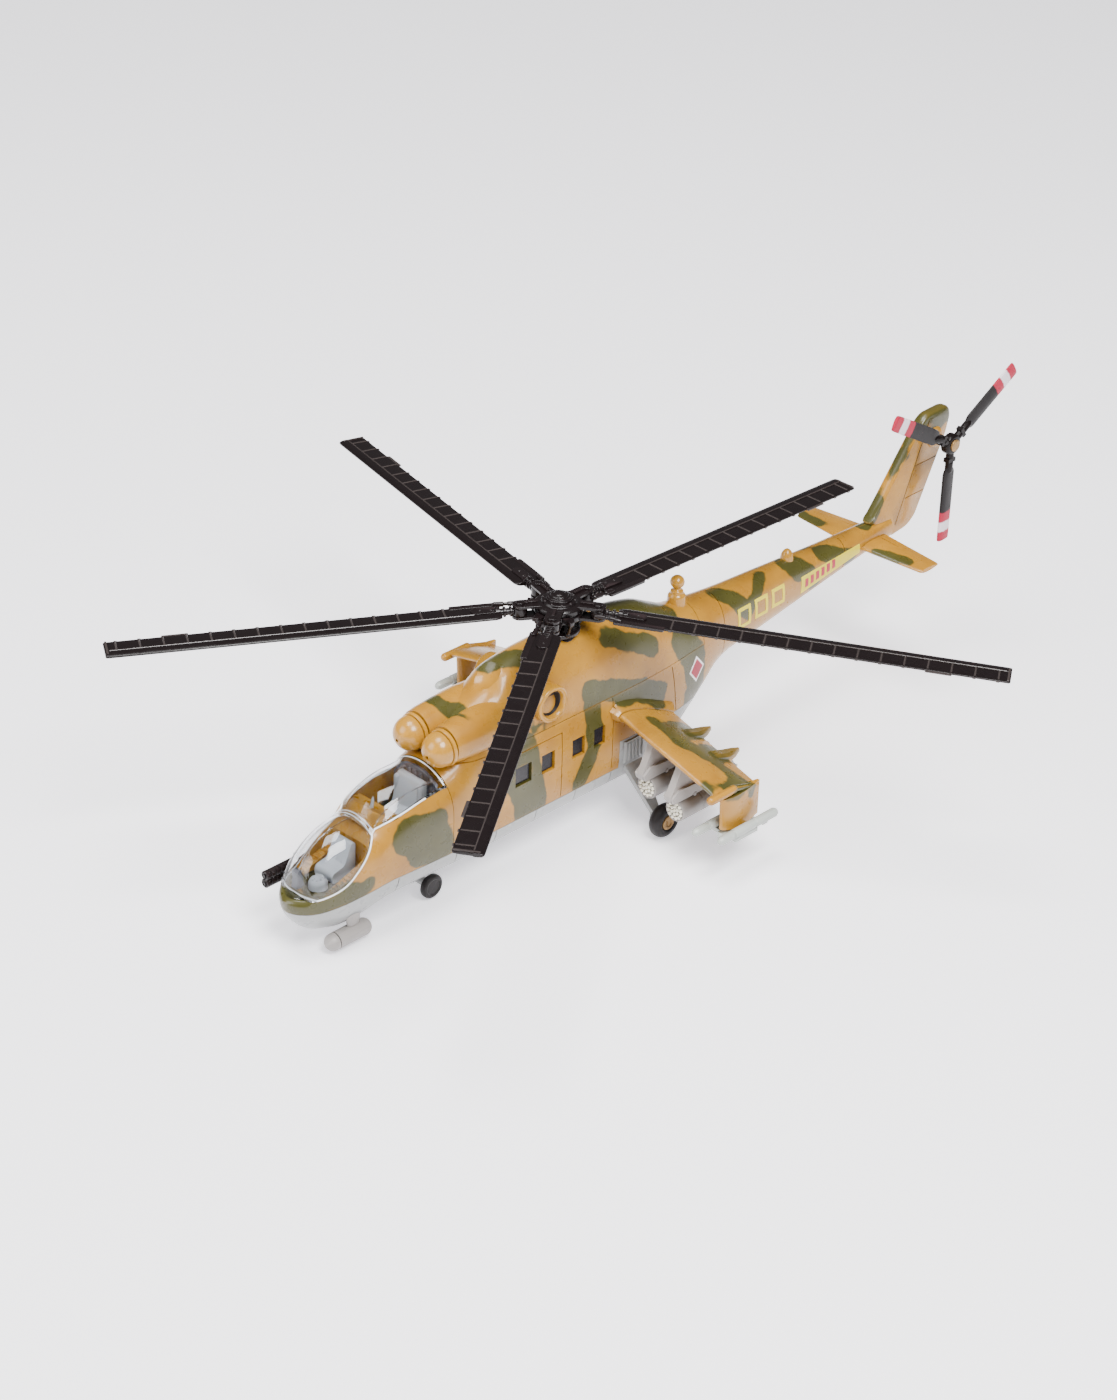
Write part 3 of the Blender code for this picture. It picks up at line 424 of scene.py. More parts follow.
def rod(start: Sequence[float], end: Sequence[float], radius: float, segments: int = 12,
        rings: Sequence[Flat] = ((0.0, 1.0), (1.0, 1.0))) -> Shape:
    """A turned bar between two points.

    Args:
        start: Centre of one end.
        end: Centre of the other end.
        radius: The bar's radius.
        segments: Facets round it.
        rings: Pairs of share of the length and share of the radius.

    Returns:
        A closed shape.
    """
    run = Vector(end) - Vector(start)
    bar = lathe("Z", (0.0, 0.0, 0.0), [(share * run.length, size * radius) for share, size in rings],
        segments)
    turn = run.to_track_quat("Z", "Y").to_matrix().to_4x4()
    return bar.turned(Matrix.Translation(Vector(start)) @ turn)


def ball(centre: Sequence[float], radius: float, segments: int = 16) -> Shape:
    """A small round head.

    Args:
        centre: Its centre.
        radius: Its radius.
        segments: Facets round it.

    Returns:
        A closed shape.
    """
    profile = [(-radius * math.cos(math.radians(lean)), radius * math.sin(math.radians(lean)))
        for lean in range(10, 171, 20)]
    return lathe("Y", tuple(centre), profile, segments)


def tube(points: Sequence[Sequence[float]], radius: float, segments: int = 10) -> Shape:
    """A thin round strip along a line of points.

    Args:
        points: The line, in millimetres.
        radius: The strip's radius.
        segments: Facets round it.

    Returns:
        A closed shape.
    """
    line = [Vector(point) for point in points]
    rings = []
    for index, point in enumerate(line):
        ahead = line[min(index + 1, len(line) - 1)] - line[max(index - 1, 0)]
        turn = ahead.to_track_quat("Z", "X").to_matrix()
        rings.append([point + turn @ Vector((radius * math.cos(2 * math.pi * step / segments),
            radius * math.sin(2 * math.pi * step / segments), 0.0)) for step in range(segments)])
    return loft(rings)


def eased(keys: Sequence[float], values: Sequence[float], at: np.ndarray) -> np.ndarray:
    """Smooth curve through points that never passes beyond them.

    Args:
        keys: Rising places of the points.
        values: The points' values.
        at: Where to read the curve.

    Returns:
        The curve's values.
    """
    keys, values = np.array(keys, float), np.array(values, float)
    gaps = np.diff(keys)
    slopes = np.diff(values) / gaps
    tangents = np.concatenate([slopes[:1], np.zeros(len(slopes) - 1), slopes[-1:]])
    same = slopes[:-1] * slopes[1:] > 0.0
    inner = np.where(same, 2.0 * slopes[:-1] * slopes[1:] / np.where(same, slopes[:-1] + slopes[1:], 1.0),
        0.0)
    tangents[1:-1] = inner
    row = np.clip(np.searchsorted(keys, at) - 1, 0, len(gaps) - 1)
    t = (at - keys[row]) / gaps[row]
    return ((2 * t ** 3 - 3 * t ** 2 + 1) * values[row] + (t ** 3 - 2 * t ** 2 + t) * gaps[row] *
        tangents[row] + (3 * t ** 2 - 2 * t ** 3) * values[row + 1] + (t ** 3 - t ** 2) * gaps[row] *
        tangents[row + 1])


# ---------------------------------------------------------------- body form

@dataclass(frozen=True)
class BodyForm:
    """The smooth outer form that every shell of the airframe is cut from."""

    # y, half width, bottom, widest height, top, lower power, upper power
    stations: tuple[tuple[float, ...], ...] = ((-91.8, 1.2, 12.6, 14.2, 15.0, 2.0, 2.0),
        (-90.8, 3.3, 10.0, 14.2, 15.8, 2.0, 2.0), (-88.6, 5.6, 7.2, 14.5, 16.6, 2.1, 2.1),
        (-88.0, 6.0, 6.6, 14.6, 20.0, 2.1, 2.1), (-86.4, 6.9, 5.5, 14.8, 23.6, 2.2, 2.0),
        (-83.0, 8.1, 4.3, 15.2, 26.8, 2.3, 2.0), (-79.0, 9.0, 3.6, 16.0, 28.9, 2.4, 2.0),
        (-75.0, 9.6, 3.7, 17.0, 29.9, 2.4, 2.0), (-71.6, 10.0, 4.3, 18.4, 30.0, 2.5, 2.0),
        (-69.2, 10.2, 4.9, 19.6, 29.8, 2.6, 2.0), (-66.5, 10.5, 5.8, 21.0, 32.6, 2.8, 2.0),
        (-62.0, 10.9, 6.7, 22.5, 35.2, 3.2, 2.0), (-56.0, 11.2, 7.5, 23.5, 36.4, 3.8, 2.0),
        (-49.5, 11.5, 8.0, 24.5, 35.9, 4.4, 2.1), (-44.0, 11.6, 8.0, 25.0, 37.6, 4.8, 2.3),
        (-38.0, 11.6, 8.0, 25.0, 43.8, 4.8, 2.3), (-27.0, 11.6, 8.0, 25.5, 50.3, 4.8, 2.3),
        (-23.0, 11.6, 8.0, 25.5, 53.8, 4.8, 2.2), (-12.0, 11.6, 8.0, 25.5, 55.4, 4.8, 2.2),
        (4.0, 11.6, 8.0, 25.5, 55.8, 4.8, 2.2), (17.0, 11.6, 8.0, 25.5, 55.4, 4.8, 2.2),
        (26.0, 11.3, 9.0, 26.5, 53.8, 4.4, 2.1), (33.0, 10.8, 11.4, 27.8, 50.6, 3.8, 2.1),
        (40.0, 9.9, 15.0, 29.5, 47.4, 3.0, 2.1), (47.0, 8.8, 19.6, 31.5, 46.2, 2.6, 2.2),
        (54.0, 7.4, 24.2, 33.8, 45.4, 2.3, 2.2), (60.0, 6.5, 25.8, 34.8, 45.0, 2.2, 2.2),
        (73.0, 5.6, 27.5, 35.4, 44.5, 2.2, 2.2), (90.0, 4.7, 30.2, 36.4, 43.7, 2.2, 2.2),
        (106.0, 4.1, 32.8, 37.6, 42.9, 2.2, 2.2), (118.0, 3.6, 34.6, 38.4, 42.6, 2.2, 2.2),
        (129.0, 2.6, 35.6, 38.8, 42.2, 2.2, 2.2),)
    quarter_points: int = 18
    row_step: float = 1.7
    belly_flat: float = 0.25

    def at(self, y: float) -> np.ndarray:
        """The station's six values at y.

        Args:
            y: The station.

        Returns:
            Half width, bottom, widest height, top and both powers.
        """
        keys = [row[0] for row in self.stations]
        place = np.array([min(max(y, keys[0]), keys[-1])])
        return np.array([eased(keys, [row[column] for row in self.stations], place)[0]
            for column in range(1, 7)])

    def section(self, y: float, inset: float = 0.0) -> list[Place]:
        """Cross section at one station.

        Args:
            y: The station.
            inset: How far it is drawn in.

        Returns:
            Evenly spaced points of the ring.
        """
        half, bottom, widest, top, low_power, high_power = self.at(y)
        width = max(half - inset, 0.3)
        depth = max(widest - bottom - inset, 0.3)
        height = max(top - widest - inset, 0.3)
        floor = bottom + inset + (self.belly_flat if bottom < 8.05 and y > -49.0 else 0.0)
        ring: list[Place] = []
        for quarter in range(4):
            turns = np.linspace(0.5 * math.pi * quarter, 0.5 * math.pi * (quarter + 1), 61)
            power = 2.0 / (high_power if quarter < 2 else low_power)
            across, up = np.cos(turns), np.sin(turns)
            xs = np.sign(across) * np.abs(across) ** power * width
            zs = np.sign(up) * np.abs(up) ** power * (height if quarter < 2 else depth)
            run = np.concatenate([[0.0], np.cumsum(np.hypot(np.diff(xs), np.diff(zs)))])
            at = np.linspace(0.0, run[-1], self.quarter_points + 1)[:-1]
            ring += [(float(x), y, max(float(z) + widest, floor)) for x,
                z in zip(np.interp(at, run, xs), np.interp(at, run, zs))]
        return ring

    def form(self, inset: float = 0.0, front: float = -91.8, rear: float = 129.0) -> Shape:
        """The closed form, or its inner offset, between two stations.

        Args:
            inset: How far it is drawn in.
            front: Its front end.
            rear: Its rear end.

        Returns:
            A closed shape.
        """
        nose = [y for y in np.arange(front, min(rear, -84.0), 0.6)]
        start = nose[-1] + 1.0 if nose else front
        rows = nose + list(np.arange(start, rear, self.row_step)) + [rear]
        if rows[-1] - rows[-2] < 0.3:
            rows.pop(-2)
        return loft([self.section(float(y), inset) for y in rows])

    def side_x(self, y: float, z: float) -> float:
        """Half width of the form at y and z.

        Args:
            y: The station.
            z: The height.

        Returns:
            The half width there.
        """
        half, bottom, widest, top, low_power, high_power = self.at(y)
        reach, power = (top - widest, high_power) if z >= widest else (widest - bottom, low_power)
        share = min(abs(z - widest) / reach, 1.0)
        return half * (1.0 - share ** power) ** (1.0 / power)

    def top_z(self, x: float, y: float) -> float:
        """Height of the upper surface at x and y.

        Args:
            x: Distance from the centre plane.
            y: The station.

        Returns:
            The height there.
        """
        half, _, widest, top, _, high_power = self.at(y)
        share = min(abs(x) / half, 1.0)
        return widest + (top - widest) * (1.0 - share ** high_power) ** (1.0 / high_power)


FORM = BodyForm()


def band(outline: Sequence[Flat]) -> Shape:
    """A cutting block from an outline in y and z, right across the toy."""
    return prism("X", outline, -FAR, FAR)


def room(x: Flat = (-FAR, FAR), y: Flat = (-FAR, FAR), z: Flat = (-FAR, FAR)) -> Shape:
    """A cutting block between limits."""
    return box((x[0], y[0], z[0]), (x[1], y[1], z[1]))


@lru_cache(maxsize=None)
def skin() -> Shape:
    """The layer of the outer form that engraved lines are cut in."""
    return FORM.form(-0.8).cut(FORM.form(0.26, -91.0, 128.4))


def engraved(shape: Shape, lines: Sequence[Sequence[Flat]], width: float = 0.3,
        x: Flat = (-FAR, FAR)) -> Shape:
    """Cut fine panel lines in a shell.

    Args:
        shape: The shell.
        lines: Each line as points in y and z.
        width: Width of the groove.
        x: The stretch of x that it covers.

    Returns:
        The shell with its lines.
    """
    for line in lines:
        for start, end in zip(line, line[1:]):
            along = (Vector(end) - Vector(start)).normalized()
            aside = Vector((-along.y, along.x)) * 0.5 * width
            low, high = Vector(start) - along * 0.5 * width, Vector(end) + along * 0.5 * width
            slab = prism("X", [tuple(low - aside), tuple(low + aside), tuple(high + aside),
                tuple(high - aside)], x[0], x[1])
            shape = shape.cut(slab.kept(skin()), least=0.97)
    return shape


# ---------------------------------------------------------------- finishes

class Tree:
    """Short hand for building a node material."""

    def __init__(self, name: str) -> None:
        """Start a material with its shader.

        Args:
            name: The material's name.
        """
        self.material = bpy.data.materials.new(name)
        self.material.use_nodes = True
        self.nodes = self.material.node_tree.nodes
        self.shader = self.nodes["Principled BSDF"]
        self.place = self.add("ShaderNodeTexCoord").outputs["Object"]

    def add(self, kind: str, **settings: object) -> bpy.types.Node:
        """Add a node and set its properties.

        Args:
            kind: The node's type.
            **settings: Its properties.

        Returns:
            The new node.
        """
        node = self.nodes.new(kind)
        for key, value in settings.items():
            setattr(node, key, value)
        return node

    def link(self, output: bpy.types.NodeSocket, target: bpy.types.NodeSocket) -> None:
        """Join an output to an input."""
        self.material.node_tree.links.new(output, target)

    def noise(self, scale: float, detail: float = 2.0, roughness: float = 0.5) -> bpy.types.NodeSocket:
        """Noise over the piece, with features of about 1/scale metres.

        Args:
            scale: Features to the metre.
            detail: Levels of finer noise.
            roughness: Strength of the finer levels.

        Returns:
            The noise, 0 to 1.
        """
        node = self.add("ShaderNodeTexNoise")
        node.inputs["Scale"].default_value = scale
        node.inputs["Detail"].default_value = detail
        node.inputs["Roughness"].default_value = roughness
        self.link(self.place, node.inputs["Vector"])
        return node.outputs["Fac"]

    def math(self, operation: str, first: object, second: object = 0.0) -> bpy.types.NodeSocket:
        """A sum of two sockets or numbers.

        Args:
            operation: The kind of sum.
            first: A socket or a number.
            second: A socket or a number.

        Returns:
            The result.
        """
        node = self.add("ShaderNodeMath", operation=operation)
        for socket, value in zip(node.inputs, (first, second)):
            if isinstance(value, bpy.types.NodeSocket):
                self.link(value, socket)
            else:
                socket.default_value = value
        return node.outputs[0]

    def span(self, value: bpy.types.NodeSocket, start: float, end: float, low: float = 0.0,
            high: float = 1.0) -> bpy.types.NodeSocket:
        """Map a stretch of values to another, clamped.

        Args:
            value: The value to map.
            start: Where the stretch starts.
            end: Where it ends.
            low: Result at the start.
            high: Result at the end.

        Returns:
            The mapped value.
        """
        node = self.add("ShaderNodeMapRange")
        self.link(value, node.inputs["Value"])
        for key, number in (("From Min", start), ("From Max", end), ("To Min", low), ("To Max", high)):
            node.inputs[key].default_value = number
        return node.outputs["Result"]

    def mix(self, share: bpy.types.NodeSocket, first: object, second: object) -> bpy.types.NodeSocket:
        """Mix two colours by a share.

        Args:
            share: Share of the second colour.
            first: A socket or a colour.
            second: A socket or a colour.

        Returns:
            The mixed colour.
        """
        node = self.add("ShaderNodeMix", data_type="RGBA")
        self.link(share, node.inputs[0])
        for socket, value in ((node.inputs[6], first), (node.inputs[7], second)):
            if isinstance(value, bpy.types.NodeSocket):
                self.link(value, socket)
            else:
                socket.default_value = (*value, 1.0)
        return node.outputs[2]

    def crevice(self) -> bpy.types.NodeSocket:
        """1 in a sharp hollow, 0 elsewhere; the mask for painted shade."""
        return self.span(self.add("ShaderNodeNewGeometry").outputs["Pointiness"], 0.47, 0.40)

    def edge(self) -> bpy.types.NodeSocket:
        """1 on a sharp edge, 0 elsewhere."""
        return self.span(self.add("ShaderNodeNewGeometry").outputs["Pointiness"], 0.53, 0.62)

    def bump(self, height: bpy.types.NodeSocket, strength: float, distance: float) -> None:
        """Raise the surface by a height, in metres of distance.

        Args:
            height: The height.
            strength: Strength of the relief.
            distance: Its depth in metres.
        """
        node = self.add("ShaderNodeBump")
        node.inputs["Strength"].default_value = strength
        node.inputs["Distance"].default_value = distance
        self.link(height, node.inputs["Height"])
        self.link(node.outputs["Normal"], self.shader.inputs["Normal"])


def tone(colour: Sequence[float], factor: float) -> tuple[float, ...]:
    """A colour made lighter or darker."""
    return tuple(min(channel * factor, 1.0) for channel in colour)


@dataclass(frozen=True)
class Plastic:
    """Plain moulded plastic with faint flow marks, lighter edges (wear, and on the rotor blacks a painted
    highlight), painted shade in sharp hollows and mould grain.
    """

    name: str
    colour: tuple[float, float, float]
    roughness: float = 0.3
    coat: float = 0.0
    metallic: float = 0.0
    mottle: float = 0.06
    grain: float = 0.35
    # Colour factor on sharp edges: wear, and on the rotor blacks a painted highlight.
    lighter_edges: float = 1.5
    specular: float = 0.4

    def material(self) -> bpy.types.Material:
        """Build or fetch the material.

        Returns:
            The material.
        """
        found = bpy.data.materials.get(self.name)
        if found:
            return found
        tree = Tree(self.name)
        flow = tree.noise(140.0, 3.0, 0.6)
        body = tree.mix(flow, tone(self.colour, 1.0 - self.mottle), tone(self.colour, 1.0 + self.mottle))
        lighter_edges = tree.mix(tree.math("MULTIPLY", tree.edge(), 0.45), body, tone(self.colour, self.lighter_edges))
        # Painted shade: sharp hollows darkened towards three tenths of the colour.
        hollow_shade = tree.mix(tree.math("MULTIPLY", tree.crevice(), 0.6), lighter_edges, tone(self.colour, 0.3))
        tree.link(hollow_shade, tree.shader.inputs["Base Color"])
        tree.link(tree.span(tree.noise(420.0), 0.3, 0.7, self.roughness * 0.85, self.roughness * 1.2),
            tree.shader.inputs["Roughness"])
        tree.bump(tree.noise(2600.0, 2.0), self.grain, 0.00003)
        tree.shader.inputs["Metallic"].default_value = self.metallic
        tree.shader.inputs["Specular IOR Level"].default_value = self.specular
        tree.shader.inputs["Coat Weight"].default_value = self.coat
        tree.shader.inputs["Coat Roughness"].default_value = 0.06
        return tree.material


@dataclass(frozen=True)
class Camouflage:
    """Glossy sand plastic sprayed with soft-edged olive patches, with lighter worn edges and painted shade
    in sharp hollows.
    """

    name: str = "camouflage"
    sand: tuple[float, float, float] = (0.375, 0.178, 0.016)
    sand_deep: tuple[float, float, float] = (0.295, 0.130, 0.010)
    olive: tuple[float, float, float] = (0.058, 0.053, 0.011)
    edge_softness: float = 0.22
    wobble: float = 2.0

    def material(self) -> bpy.types.Material:
        """Build or fetch the material.

        Returns:
            The material.
        """
        found = bpy.data.materials.get(self.name)
        if found:
            return found
        tree = Tree(self.name)
        reach = tree.add("ShaderNodeAttribute", attribute_name="patch_reach").outputs["Fac"]
        ragged = tree.math("MULTIPLY", tree.math("SUBTRACT", tree.noise(150.0, 3.0), 0.5), 2.0 * self.wobble)
        spray = tree.span(tree.math("ADD", reach, ragged), self.edge_softness, -self.edge_softness)
        flow = tree.span(tree.noise(90.0, 3.0, 0.6), 0.36, 0.66)
        sand = tree.mix(flow, self.sand, self.sand_deep)
        olive = tree.mix(flow, self.olive, tone(self.olive, 0.82))
        paint = tree.mix(spray, sand, olive)
        lighter_edges = tree.mix(tree.math("MULTIPLY", tree.edge(), 0.4), paint, tone(self.sand, 1.35))
        # Painted shade: sharp hollows darkened towards a deep brown.
        hollow_shade = tree.mix(tree.math("MULTIPLY", tree.crevice(), 0.75), lighter_edges, tone(self.sand_deep, 0.22))
        tree.link(hollow_shade, tree.shader.inputs["Base Color"])
        tree.link(tree.span(tree.noise(380.0), 0.3, 0.7, 0.24, 0.36), tree.shader.inputs["Roughness"])
        tree.bump(tree.noise(1500.0, 2.0), 0.25, 0.00003)
        tree.shader.inputs["Specular IOR Level"].default_value = 0.35
        tree.shader.inputs["Coat Weight"].default_value = 0.22
        tree.shader.inputs["Coat Roughness"].default_value = 0.07
        return tree.material


@dataclass(frozen=True)
class ClearPlastic:
    """Clear injection-moulded plastic with faint flow lines."""

    name: str = "clear_plastic_shell"
    colour: tuple[float, float, float] = (0.93, 0.95, 0.97)

    def material(self) -> bpy.types.Material:
        """Build or fetch the material.

        Returns:
            The material.
        """
        found = bpy.data.materials.get(self.name)
        if found:
            return found
        tree = Tree(self.name)
        haze = tree.noise(110.0, 3.0, 0.6)
        tree.link(tree.mix(haze, self.colour, tone(self.colour, 0.97)), tree.shader.inputs["Base Color"])
        tree.link(tree.span(haze, 0.35, 0.7, 0.015, 0.05), tree.shader.inputs["Roughness"])
        tree.bump(tree.noise(200.0, 1.0), 0.03, 0.0001)
        tree.shader.inputs["Transmission Weight"].default_value = 1.0
        tree.shader.inputs["IOR"].default_value = 1.42
        tree.shader.inputs["Specular IOR Level"].default_value = 0.75
        return tree.material


@dataclass(frozen=True)
class BandedBlade:
    """Black tail-rotor plastic with painted bands towards the tips."""

    name: str = "banded_tail_rotor"
    black: tuple[float, float, float] = (0.006, 0.004, 0.004)
    crimson: tuple[float, float, float] = (0.34, 0.010, 0.034)
    white: tuple[float, float, float] = (0.66, 0.59, 0.63)
    bands: tuple[float, float, float] = (0.70, 0.80, 0.90)

    def material(self) -> bpy.types.Material:
        """Build or fetch the material.

        Returns:
            The material.
        """
        found = bpy.data.materials.get(self.name)
        if found:
            return found
        tree = Tree(self.name)
        reach = tree.add("ShaderNodeAttribute", attribute_name="tip_share").outputs["Fac"]
        uneven = tree.math("MULTIPLY", tree.math("SUBTRACT", tree.noise(900.0), 0.5), 0.02)
        share = tree.math("ADD", reach, uneven)
        paint = tree.mix(tree.span(share, self.bands[0] - 0.006, self.bands[0] + 0.006), self.black,
            self.crimson)
        paint = tree.mix(tree.span(share, self.bands[1] - 0.006, self.bands[1] + 0.006), paint, self.white)
        paint = tree.mix(tree.span(share, self.bands[2] - 0.006, self.bands[2] + 0.006), paint, self.crimson)
        tree.link(paint, tree.shader.inputs["Base Color"])
        tree.link(tree.span(tree.noise(500.0), 0.3, 0.7, 0.26, 0.4), tree.shader.inputs["Roughness"])
        tree.bump(tree.noise(2400.0), 0.3, 0.00003)
        tree.shader.inputs["Specular IOR Level"].default_value = 0.15
        return tree.material


CAMOUFLAGE = Camouflage()
CLEAR = ClearPlastic()
BANDED = BandedBlade()
BELLY_GREY = Plastic("belly_grey_plastic", (0.31, 0.315, 0.31), 0.3, 0.1, mottle=0.03, lighter_edges=1.25)
STORE_GREY = Plastic("store_grey_plastic", (0.27, 0.25, 0.237), 0.36, lighter_edges=1.3)
PALE_GREY = Plastic("pale_grey_plastic", (0.37, 0.39, 0.36), 0.36, lighter_edges=1.2)
SEAT_GREY = Plastic("seat_grey_plastic", (0.42, 0.435, 0.46), 0.34, lighter_edges=1.15)
WALL_GREY = Plastic("cockpit_wall_grey", (0.10, 0.10, 0.12), 0.4)
# Edges six times lighter than the black: a painted highlight that brings out the blade ribs and edges.
ROTOR_BLACK = Plastic("rotor_black_plastic", (0.0060, 0.0038, 0.0040), 0.26, 0.0, lighter_edges=6.0, mottle=0.15,
    specular=0.3)
# Lighter than the blade black, with lighter edges: a painted highlight along the raised ribs.
ROTOR_RIB_HIGHLIGHT = Plastic("rotor_rib_black", (0.024, 0.019, 0.018), 0.22, 0.0, lighter_edges=2.0, specular=0.4)
TYRE_BLACK = Plastic("tyre_black_plastic", (0.008, 0.006, 0.006), 0.42, lighter_edges=3.0, specular=0.25)
BORE_BLACK = Plastic("bore_black", (0.006, 0.005, 0.005), 0.5)
PANE_DARK = Plastic("window_dark_plastic", (0.010, 0.009, 0.011), 0.2, specular=0.3)
GOLD = Plastic("gold_paint_finish", (0.26, 0.15, 0.055), 0.36, 0.0, metallic=0.45, lighter_edges=1.6)
ROCKET_CREAM = Plastic("rocket_cream", (0.70, 0.66, 0.55), 0.3, 0.1)
MARK_CRIMSON = Plastic("mark_crimson", (0.32, 0.010, 0.034), 0.34, specular=0.3)
PLAIN_SAND = Plastic("plain_sand_plastic", (0.375, 0.178, 0.016), 0.26, 0.25, lighter_edges=1.3)
MARK_WHITE = Plastic("mark_white", (0.78, 0.74, 0.74), 0.34)
MARK_YELLOW = Plastic("mark_yellow", (0.58, 0.47, 0.012), 0.36, specular=0.3)
# Opaque pale plastic for the light caught in the clear canopy's edges and arches: a painted highlight.
CANOPY_EDGE_HIGHLIGHT = Plastic("canopy_edge_white", (0.74, 0.77, 0.80), 0.12, 0.4)


# ---------------------------------------------------------------- camouflage layout

@dataclass(frozen=True)
class Patch:
    """One sprayed patch: a line of points and its half width."""

    line: tuple[Place, ...]
    radius: float


@dataclass(frozen=True)
class SprayPlan:
    """Where the olive patches lie on the sand shells."""

    port: tuple[Patch, ...] = (Patch(((10.6, -61.0, 25.0), (10.9, -53.0, 24.4)), 4.6),
        Patch(((10.9, -53.0, 22.6), (11.0, -51.8, 17.6)), 5.0),
        Patch(((10.8, -58.0, 19.4), (10.9, -54.5, 18.0)), 4.0),
        Patch(((11.2, -23.6, 34.0), (11.6, -21.6, 26.0)), 5.0),
        Patch(((11.6, -22.5, 25.0), (11.6, -20.5, 16.5)), 6.0),
        Patch(((10.9, 1.2, 37.5), (11.3, 1.9, 31.0), (11.6, 2.5, 26.5), (11.6, 1.0, 22.6),
        (11.6, -1.9, 18.6), (11.5, -3.2, 15.6)), 2.8),
        Patch(((10.2, 0.4, 41.8), (10.6, 6.0, 39.6), (10.8, 13.0, 37.2)), 2.6),
        Patch(((10.8, 13.0, 36.6), (10.9, 20.0, 33.8), (10.9, 25.6, 30.4)), 3.7),
        Patch(((6.6, 10.5, 51.6), (8.0, 16.5, 48.6), (8.6, 21.5, 46.2), (8.8, 24.8, 44.0)), 2.6),
        Patch(((8.6, 37.4, 41.0), (9.2, 41.0, 36.0), (9.6, 41.6, 30.0), (8.0, 41.6, 22.5)), 4.6),
        Patch(((11.3, -20.2, 43.6), (11.5, -18.8, 39.6), (11.6, -15.4, 37.6)), 1.4),
        Patch(((8.2, -34.5, 46.2), (10.6, -32.0, 42.8), (11.2, -30.8, 40.2)), 2.8),
        Patch(((3.0, 98.5, 43.0), (4.4, 103.5, 40.6), (4.3, 109.0, 37.4)), 2.6),
        Patch(((1.0, 85.0, 44.0), (4.4, 90.0, 40.6), (4.8, 94.0, 36.4)), 3.0),
        Patch(((2.0, 57.0, 45.4), (4.8, 61.5, 42.0), (5.7, 66.0, 37.6)), 2.5),
        Patch(((2.0, 74.0, 44.2), (5.0, 69.5, 41.0), (5.7, 66.0, 38.0)), 1.9),
        Patch(((19.0, 15.6, 28.6), (23.0, 15.6, 28.4), (28.5, 16.4, 27.4), (31.6, 18.6, 26.2)), 2.7),
        Patch(((24.0, 18.5, 28.0), (24.0, 33.0, 24.5)), 3.2),
        Patch(((34.0, 18.5, 26.4), (34.0, 33.0, 22.5)), 3.2),
        Patch(((38.0, 18.6, 24.0), (44.5, 19.4, 22.6), (50.0, 21.4, 21.0)), 2.3),
        Patch(((44.6, 8.4, 24.4), (46.6, 12.6, 23.2), (46.0, 19.0, 22.0)), 2.4),
        Patch(((8.4, 116.0, 38.6), (13.0, 117.2, 38.4), (16.5, 118.6, 38.2)), 1.7),)
    starboard: tuple[Patch, ...] = (Patch(((-10.6, -63.0, 22.0), (-10.9, -57.0, 26.0)), 3.8),
        Patch(((-11.2, -50.0, 18.0), (-11.4, -43.0, 22.0), (-11.6, -38.0, 30.0)), 3.6),
        Patch(((-11.6, -17.0, 17.0), (-11.6, -12.0, 26.0), (-11.0, -14.0, 36.0)), 3.4),
        Patch(((-11.6, 6.0, 18.0), (-11.6, 3.0, 26.0), (-11.0, 8.0, 35.0)), 2.4),
        Patch(((-9.8, -6.0, 43.0), (-10.4, 4.0, 41.0), (-10.6, 13.0, 38.6)), 2.6),
        Patch(((-7.6, 12.0, 49.5), (-8.6, 22.0, 46.0)), 2.2),
        Patch(((-8.6, 35.0, 43.0), (-9.4, 38.0, 33.0), (-8.6, 40.0, 24.0)), 3.4),
        Patch(((-3.0, 95.0, 43.0), (-4.5, 101.0, 39.6), (-4.0, 104.0, 36.0)), 2.5),
        Patch(((-4.0, 76.0, 43.4), (-5.2, 70.0, 38.4), (-5.0, 66.0, 32.5)), 2.6),
        Patch(((-18.0, 17.0, 28.8), (-26.0, 14.6, 28.2)), 2.4),
        Patch(((-24.0, 18.5, 28.0), (-24.0, 33.0, 24.5)), 3.2),
        Patch(((-34.0, 18.5, 26.4), (-34.0, 33.0, 22.5)), 3.2),
        Patch(((-21.5, 118.0, 38.0), (-14.0, 117.2, 38.4)), 1.8),)
    middle: tuple[Patch, ...] = (Patch(((0.0, -91.4, 14.0), (5.0, -88.4, 14.0), (7.8, -83.5, 14.4),
        (8.9, -78.0, 15.0)), 3.6), Patch(((8.9, -78.0, 14.6), (9.5, -73.6, 16.4)), 2.5),
        Patch(((0.0, -91.4, 13.6), (-5.0, -88.4, 13.4), (-7.8, -83.5, 13.6), (-9.2, -75.0, 15.0)), 3.0),
        Patch(((-10.0, -35.2, 44.5), (-5.6, -37.2, 46.8), (-1.0, -35.8, 46.0), (4.0, -35.6, 46.6),
        (8.2, -34.5, 46.0)), 2.6), Patch(((-4.0, -23.5, 52.6), (0.5, -19.5, 54.6), (4.5, -14.5, 54.4)), 2.6),
        Patch(((-5.0, 15.0, 54.0), (0.5, 20.5, 54.8), (2.0, 28.0, 53.0), (4.5, 36.0, 48.0)), 3.4),
        Patch(((0.0, 139.6, 68.6), (0.0, 145.0, 68.8), (0.0, 151.0, 66.0)), 2.9),
        Patch(((0.0, 119.0, 43.6), (0.0, 123.4, 48.6)), 2.6),
        Patch(((0.0, 133.0, 52.0), (0.0, 139.0, 46.0)), 1.7),
        Patch(((0.0, 141.0, 58.5), (0.0, 146.0, 54.5)), 1.5),)
    across_share: float = 0.75

